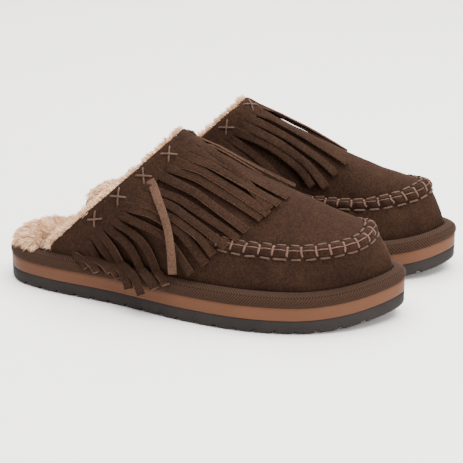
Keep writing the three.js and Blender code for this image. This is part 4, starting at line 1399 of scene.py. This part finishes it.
def sock_shapes(foot):
    """The footbed's fleece: its ground and its pile."""
    grid = sock_grid()
    ground = Shape()
    floor = grid.copy()
    floor[..., 2] = last.fleece_z - 3.2
    ground.add(*thick_sheet(grid, floor))
    rng = np.random.default_rng(101 if foot == "right" else 137)
    f = last.fleece
    normals = grid_normals(grid)
    normals *= np.sign(normals[..., 2].mean())
    weights = np.interp(grid[..., 0], [-134, -100, -60, -20, 10, 11], [2.2, 1.8, 1.0, 0.5, 0.3, 0.0])
    i, k, s, t = scatter(grid, weights, f.sock_fibres, rng)
    roots, n = blend_grid(grid, i, k, s, t), unit(blend_grid(normals, i, k, s, t))
    centre = np.array([-62.0, 0.0, 20.0])
    outward = unit((roots - centre) * [1, 1.25, 0])
    near_end = ease(-96, -120, roots[:, 0])
    comb = outward * (0.35 + 0.75 * near_end)[:, None]
    size = f.pile / MM * rng.uniform(0.7, 1.15, len(roots)) * (0.85 + 0.25 * near_end)
    fibres = Shape()
    pile(fibres, roots, n, comb, size, f.fibre_width / MM, rng, droop=0.1 + 0.3 * near_end)
    return ground, fibres


def lining_shapes(foot):
    """The lining inside the upper: its ground, and the pile that shows in the opening."""
    at = np.linspace(1.004, 0.12, 90)
    v = np.linspace(0.02, 0.98, 150)
    share_grid, over = np.meshgrid(at, v, indexing="ij")
    grid = last.skin(share_grid, over)
    normal = last.skin_normal(np.clip(share_grid, 0.03, 1), np.clip(over, 0.03, 0.97))
    outside = last.suede + 2 * last.gap
    outer = grid - normal * outside
    inner = grid - normal * (outside + last.lining_depth)
    inner = inner + normal * (0.7 * waves(inner, 9, 15))[..., None]
    ground = Shape()
    ground.add(*thick_sheet(outer, inner))
    rng = np.random.default_rng(211 if foot == "right" else 251)
    f = last.fleece
    fibres = Shape()
    inside_count = int(f.rim_fibres * 0.5)
    weights = np.interp(share_grid, [0.5, 0.62, 0.85, 1.0], [0.0, 0.5, 1.0, 1.6])
    i, k, s, t = scatter(inner, weights, inside_count, rng)
    roots, n = blend_grid(inner, i, k, s, t), -unit(blend_grid(normal, i, k, s, t))
    comb = -last.collar_axis * 0.5
    size = f.pile / MM * rng.uniform(0.55, 0.95, len(roots))
    pile(fibres, roots, n, comb, size, f.fibre_width / MM, rng, droop=0.15)
    # The rim: fibres that leave the lining's edge and fold a little over the suede.
    rim_count = f.rim_fibres - inside_count
    vv = rng.uniform(0.02, 0.98, rim_count)
    line = last.skin(np.full(rim_count, 1.0), vv)
    n = last.skin_normal(np.full(rim_count, 0.995), vv)
    depth = rng.uniform(0.3, outside + last.lining_depth + 0.5, rim_count)
    roots = line - n * depth[:, None] + last.collar_axis * rng.uniform(0, 1.5, rim_count)[:, None]
    spread = 1 - 2 * depth / (outside + last.lining_depth)
    way = unit(-last.collar_axis * 0.9 + n * (0.55 * spread + 0.1)[:, None])
    low_end = np.interp(np.minimum(vv, 1 - vv), [0, 0.12, 0.35], [1.25, 1.0, 0.8])
    size = f.rim_pile / MM * rng.uniform(0.6, 1.1, rim_count) * low_end
    pile(fibres, roots, way, np.zeros(3), size, f.fibre_width / MM, rng, pull=0.6, droop=0.12)
    return ground, fibres


# ------------------------------------------------------------------ operators


def report(operator, made):
    """Ends an operator, or raises an error when it made nothing."""
    if not made:
        raise RuntimeError(f"{operator.bl_label}: nothing was made")
    return {"FINISHED"}


class SLIPPERS_OT_form(bpy.types.Operator):
    """Works out the form of the slippers from the sizes, and makes every finish"""

    bl_idname = "slippers.form"
    bl_label = "Work out the form"

    def execute(self, context):
        global last
        scene = context.scene
        last = Last(scene.slipper_sole, scene.slipper_upper)
        last.fringe, last.fleece = scene.slipper_fringe, scene.slipper_fleece
        last.lining_depth = scene.slipper_upper.lining / MM
        mix_finishes(scene.slipper_colours)
        return report(self, finishes)


class SLIPPERS_OT_outsoles(bpy.types.Operator):
    """Makes the rubber outsoles with their grooved tread"""

    bl_idname = "slippers.outsoles"
    bl_label = "Outsoles"

    def execute(self, context):
        edge, top = last.sole.edge_round / MM, last.tread
        section = [(edge, 0.0), (0.55 * edge, 0.12 * edge), (0.2 * edge, 0.42 * edge), (0.02, edge),
                   (0.12, 0.5 * top), (0.0, top - 0.5), (0.45, top)]  # fmt: skip
        shape = sole_layer(section, 0.55, tread_relief)
        made = [make_piece("rubber_outsole", foot, shape, ["rubber"], ["outsole"]) for foot in FEET]
        return report(self, made)


class SLIPPERS_OT_midsoles(bpy.types.Operator):
    """Makes the moulded foam midsoles"""

    bl_idname = "slippers.midsoles"
    bl_label = "Midsoles"

    def execute(self, context):
        low, high = last.mid_low - 0.15, last.mid_high + 0.1
        section = [(0.5, low), (0.05, low + 0.5), (0.0, low + 2), (0.12, (low + high) / 2), (0.0, high - 2),
                   (0.05, high - 0.5), (0.5, high)]  # fmt: skip
        shape = sole_layer(section, 1.2)
        made = [make_piece("foam_midsole", foot, shape, ["foam"], ["midsole"]) for foot in FEET]
        return report(self, made)


class SLIPPERS_OT_braids(bpy.types.Operator):
    """Makes the herringbone braid round each platform"""

    bl_idname = "slippers.braids"
    bl_label = "Braided rands"

    def execute(self, context):
        shape, ribs = braid_shape()
        made = [
            make_piece("herringbone_rand", foot, shape, ["braid"], ["braid_rand"], {"rib": ribs})
            for foot in FEET
        ]
        return report(self, made)


LAYERS = {"platform_core": "core", "insole_board": "board", "footbed_foam": "cushion"}


class SLIPPERS_OT_cores(bpy.types.Operator):
    """Gives the hidden platform, board and cushion of each sole their finish"""

    bl_idname = "slippers.cores"
    bl_label = "Hidden layers"

    def execute(self, context):
        made = []
        for foot in FEET:
            for node, finish in LAYERS.items():
                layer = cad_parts[f"{foot}_{node}"]
                layer.data.materials.clear()
                layer.data.materials.append(finishes[finish])
                made.append(layer)
        return report(self, made)


class SLIPPERS_OT_uppers(bpy.types.Operator):
    """Makes the suede vamps and aprons"""

    bl_idname = "slippers.uppers"
    bl_label = "Suede uppers"

    def execute(self, context):
        made = []
        for seed, foot in enumerate(FEET):
            made.append(make_piece("suede_vamp", foot, vamp_shape(30 + seed), ["suede"], ["vamp"]))
            shape = apron_shape(50 + seed)
            made.append(make_piece("suede_apron", foot, shape, ["suede"], ["apron"]))
        return report(self, made)


class SLIPPERS_OT_seams(bpy.types.Operator):
    """Makes the raised moccasin seams with their lacing and stitches"""

    bl_idname = "slippers.seams"
    bl_label = "Moccasin seams"

    def execute(self, context):
        made = []
        for foot in FEET:
            made.append(make_piece("moccasin_welt", foot, welt_shape(), ["suede"], ["seam_welt"]))
            shape = lacing_shape(foot)
            made.append(make_piece("welt_lacing", foot, shape, ["lacing"], ["seam_lacing"]))
            for name, side in (("apron", 1), ("vamp", -1)):
                row = stitches_shape(foot, side)
                covered = [f"{name}_stitching"]
                made.append(make_piece(f"{name}_stitches", foot, row, ["thread"], covered))
        return report(self, made)


class SLIPPERS_OT_fringes(bpy.types.Operator):
    """Makes the slit collars and lays their strands over the uppers"""

    bl_idname = "slippers.fringes"
    bl_label = "Fringed collars"

    def execute(self, context):
        tree = last.form()
        made = [
            make_piece(
                "fringe", foot, fringe_shape(foot, tree), ["suede", "flesh"], ["fringed_collar"]
            )
            for foot in FEET
        ]
        return report(self, made)


class SLIPPERS_OT_cross_stitches(bpy.types.Operator):
    """Makes the cross stitches round the collars"""

    bl_idname = "slippers.cross_stitches"
    bl_label = "Cross stitches"

    def execute(self, context):
        nodes = [f"cross_stitch_{k}" for k in range(1, 10)]
        made = [
            make_piece("cross_stitches", foot, cross_stitch_shape(foot), ["thread"], nodes)
            for foot in FEET
        ]
        return report(self, made)


class SLIPPERS_OT_fleeces(bpy.types.Operator):
    """Makes the fleece footbeds and linings with their pile"""

    bl_idname = "slippers.fleeces"
    bl_label = "Fleece"

    def execute(self, context):
        # The fleece colour and its painted light and painted shade copies.
        tones = ("fibre", "fibre_pale", "fibre_deep")
        fleeces = (("sock", "footbed_fleece", sock_shapes), ("lining", "upper_lining", lining_shapes))
        made = []
        for foot in FEET:
            for name, node, shapes in fleeces:
                ground, fibres = shapes(foot)
                base = make_piece(f"fleece_{name}", foot, ground, ["ground"], [node])
                made.append(base)
                made.append(make_piece(f"fleece_{name}_pile", foot, fibres, tones, turn=False))
        return report(self, made)


LENS = 121.2  # focal length in millimetres
AIM = (-3.1, 2.8, -29.08)  # from the middle of the pair's box to where the camera looks
FLOOR_REACH = 9.0  # metres from the middle to the floor's sides


class SLIPPERS_OT_stage(bpy.types.Operator):
    """Sets up the pale floor, the soft lights and the camera"""

    bl_idname = "slippers.stage"
    bl_label = "Stage"

    def execute(self, context):
        s = context.scene.slipper_stage
        low, high = (Vector(v) for v in CAD_BOX)
        mesh = bpy.data.meshes.new("studio_floor")
        corners = [(x * FLOOR_REACH, y * FLOOR_REACH, 0) for x, y in ((-1, -1), (1, -1), (1, 1), (-1, 1))]
        mesh.from_pydata(corners, [], [(0, 1, 2, 3)])
        floor = bpy.data.objects.new("studio_floor", mesh)
        context.scene.collection.objects.link(floor)
        pale = opaque(tuple(context.scene.slipper_colours.floor))
        finish, _, _ = new_finish("painted_board_satin", 0.42, Base_Color=pale, Specular_IOR_Level=0.3)
        mesh.materials.append(finish)

        world = bpy.data.worlds.new("studio_surround")
        context.scene.world = world
        world.use_nodes = True
        surround = world.node_tree.nodes["Background"]
        surround.inputs["Color"].default_value = opaque(linear("fffaf5"))
        surround.inputs["Strength"].default_value = s.fill

        lights = (
            ("overhead_softbox", s.overhead, 2.4, (0.15, 0.25, 1.7), (0.0, 0.0, 0.0)),
            ("front_softbox", s.key, 1.2, (1.7, -0.9, 0.8), (0.05, 0.0, 0.04)),
        )
        for name, power, size, place, aim in lights:
            lamp = bpy.data.lights.new(name, "AREA")
            lamp.shape, lamp.size, lamp.energy = "SQUARE", size, power
            light = bpy.data.objects.new(name, lamp)
            light.location = place
            light.rotation_euler = (Vector(aim) - Vector(place)).to_track_quat("-Z", "Y").to_euler()
            context.scene.collection.objects.link(light)

        target = (low + high) / 2 + Vector(AIM) * MM
        level = math.cos(s.elevation)
        back = Vector((math.sin(s.azimuth) * level, -math.cos(s.azimuth) * level, math.sin(s.elevation)))
        lens = bpy.data.cameras.new("camera")
        lens.lens, lens.sensor_width = LENS, 36.0
        lens.clip_start, lens.clip_end = 0.05, 40.0
        camera = bpy.data.objects.new("camera", lens)
        camera.location = target + back * s.distance
        camera.rotation_euler = (-back).to_track_quat("-Z", "Y").to_euler()
        context.scene.collection.objects.link(camera)
        context.scene.camera = camera
        return report(self, [floor, camera])


STEPS = (
    SLIPPERS_OT_form,
    SLIPPERS_OT_stage,
    SLIPPERS_OT_outsoles,
    SLIPPERS_OT_midsoles,
    SLIPPERS_OT_braids,
    SLIPPERS_OT_cores,
    SLIPPERS_OT_uppers,
    SLIPPERS_OT_seams,
    SLIPPERS_OT_fringes,
    SLIPPERS_OT_cross_stitches,
    SLIPPERS_OT_fleeces,
)
GROUPS = {
    "slipper_sole": SoleSizes,
    "slipper_upper": UpperSizes,
    "slipper_fringe": FringeSizes,
    "slipper_fleece": FleeceSizes,
    "slipper_colours": Colours,
    "slipper_stage": StageSizes,
}


class SLIPPERS_PT_panel(bpy.types.Panel):
    """Lists the sizes and the steps"""

    bl_idname = "SLIPPERS_PT_panel"
    bl_label = "Fringed Slippers"
    bl_space_type = "VIEW_3D"
    bl_region_type = "UI"
    bl_category = "Slippers"

    def draw(self, context):
        for step in STEPS:
            self.layout.operator(step.bl_idname)
        for key, group in GROUPS.items():
            box = self.layout.box()
            box.label(text=group.__doc__)
            for name in group.__annotations__:
                box.prop(getattr(context.scene, key), name)


def register():
    """Registers the sizes, the steps and the panel."""
    for group in GROUPS.values():
        bpy.utils.register_class(group)
    for key, group in GROUPS.items():
        setattr(bpy.types.Scene, key, PointerProperty(type=group))
    for step in (*STEPS, SLIPPERS_PT_panel):
        bpy.utils.register_class(step)


def unregister():
    """Takes them away again."""
    for step in reversed((*STEPS, SLIPPERS_PT_panel)):
        bpy.utils.unregister_class(step)
    for key in GROUPS:
        delattr(bpy.types.Scene, key)
    for group in reversed(list(GROUPS.values())):
        bpy.utils.unregister_class(group)


def main():
    """Registers the steps and builds the pair."""
    register()
    for step in STEPS:
        group, name = step.bl_idname.split(".")
        getattr(getattr(bpy.ops, group), name)()


if __name__ == "__main__":
    main()
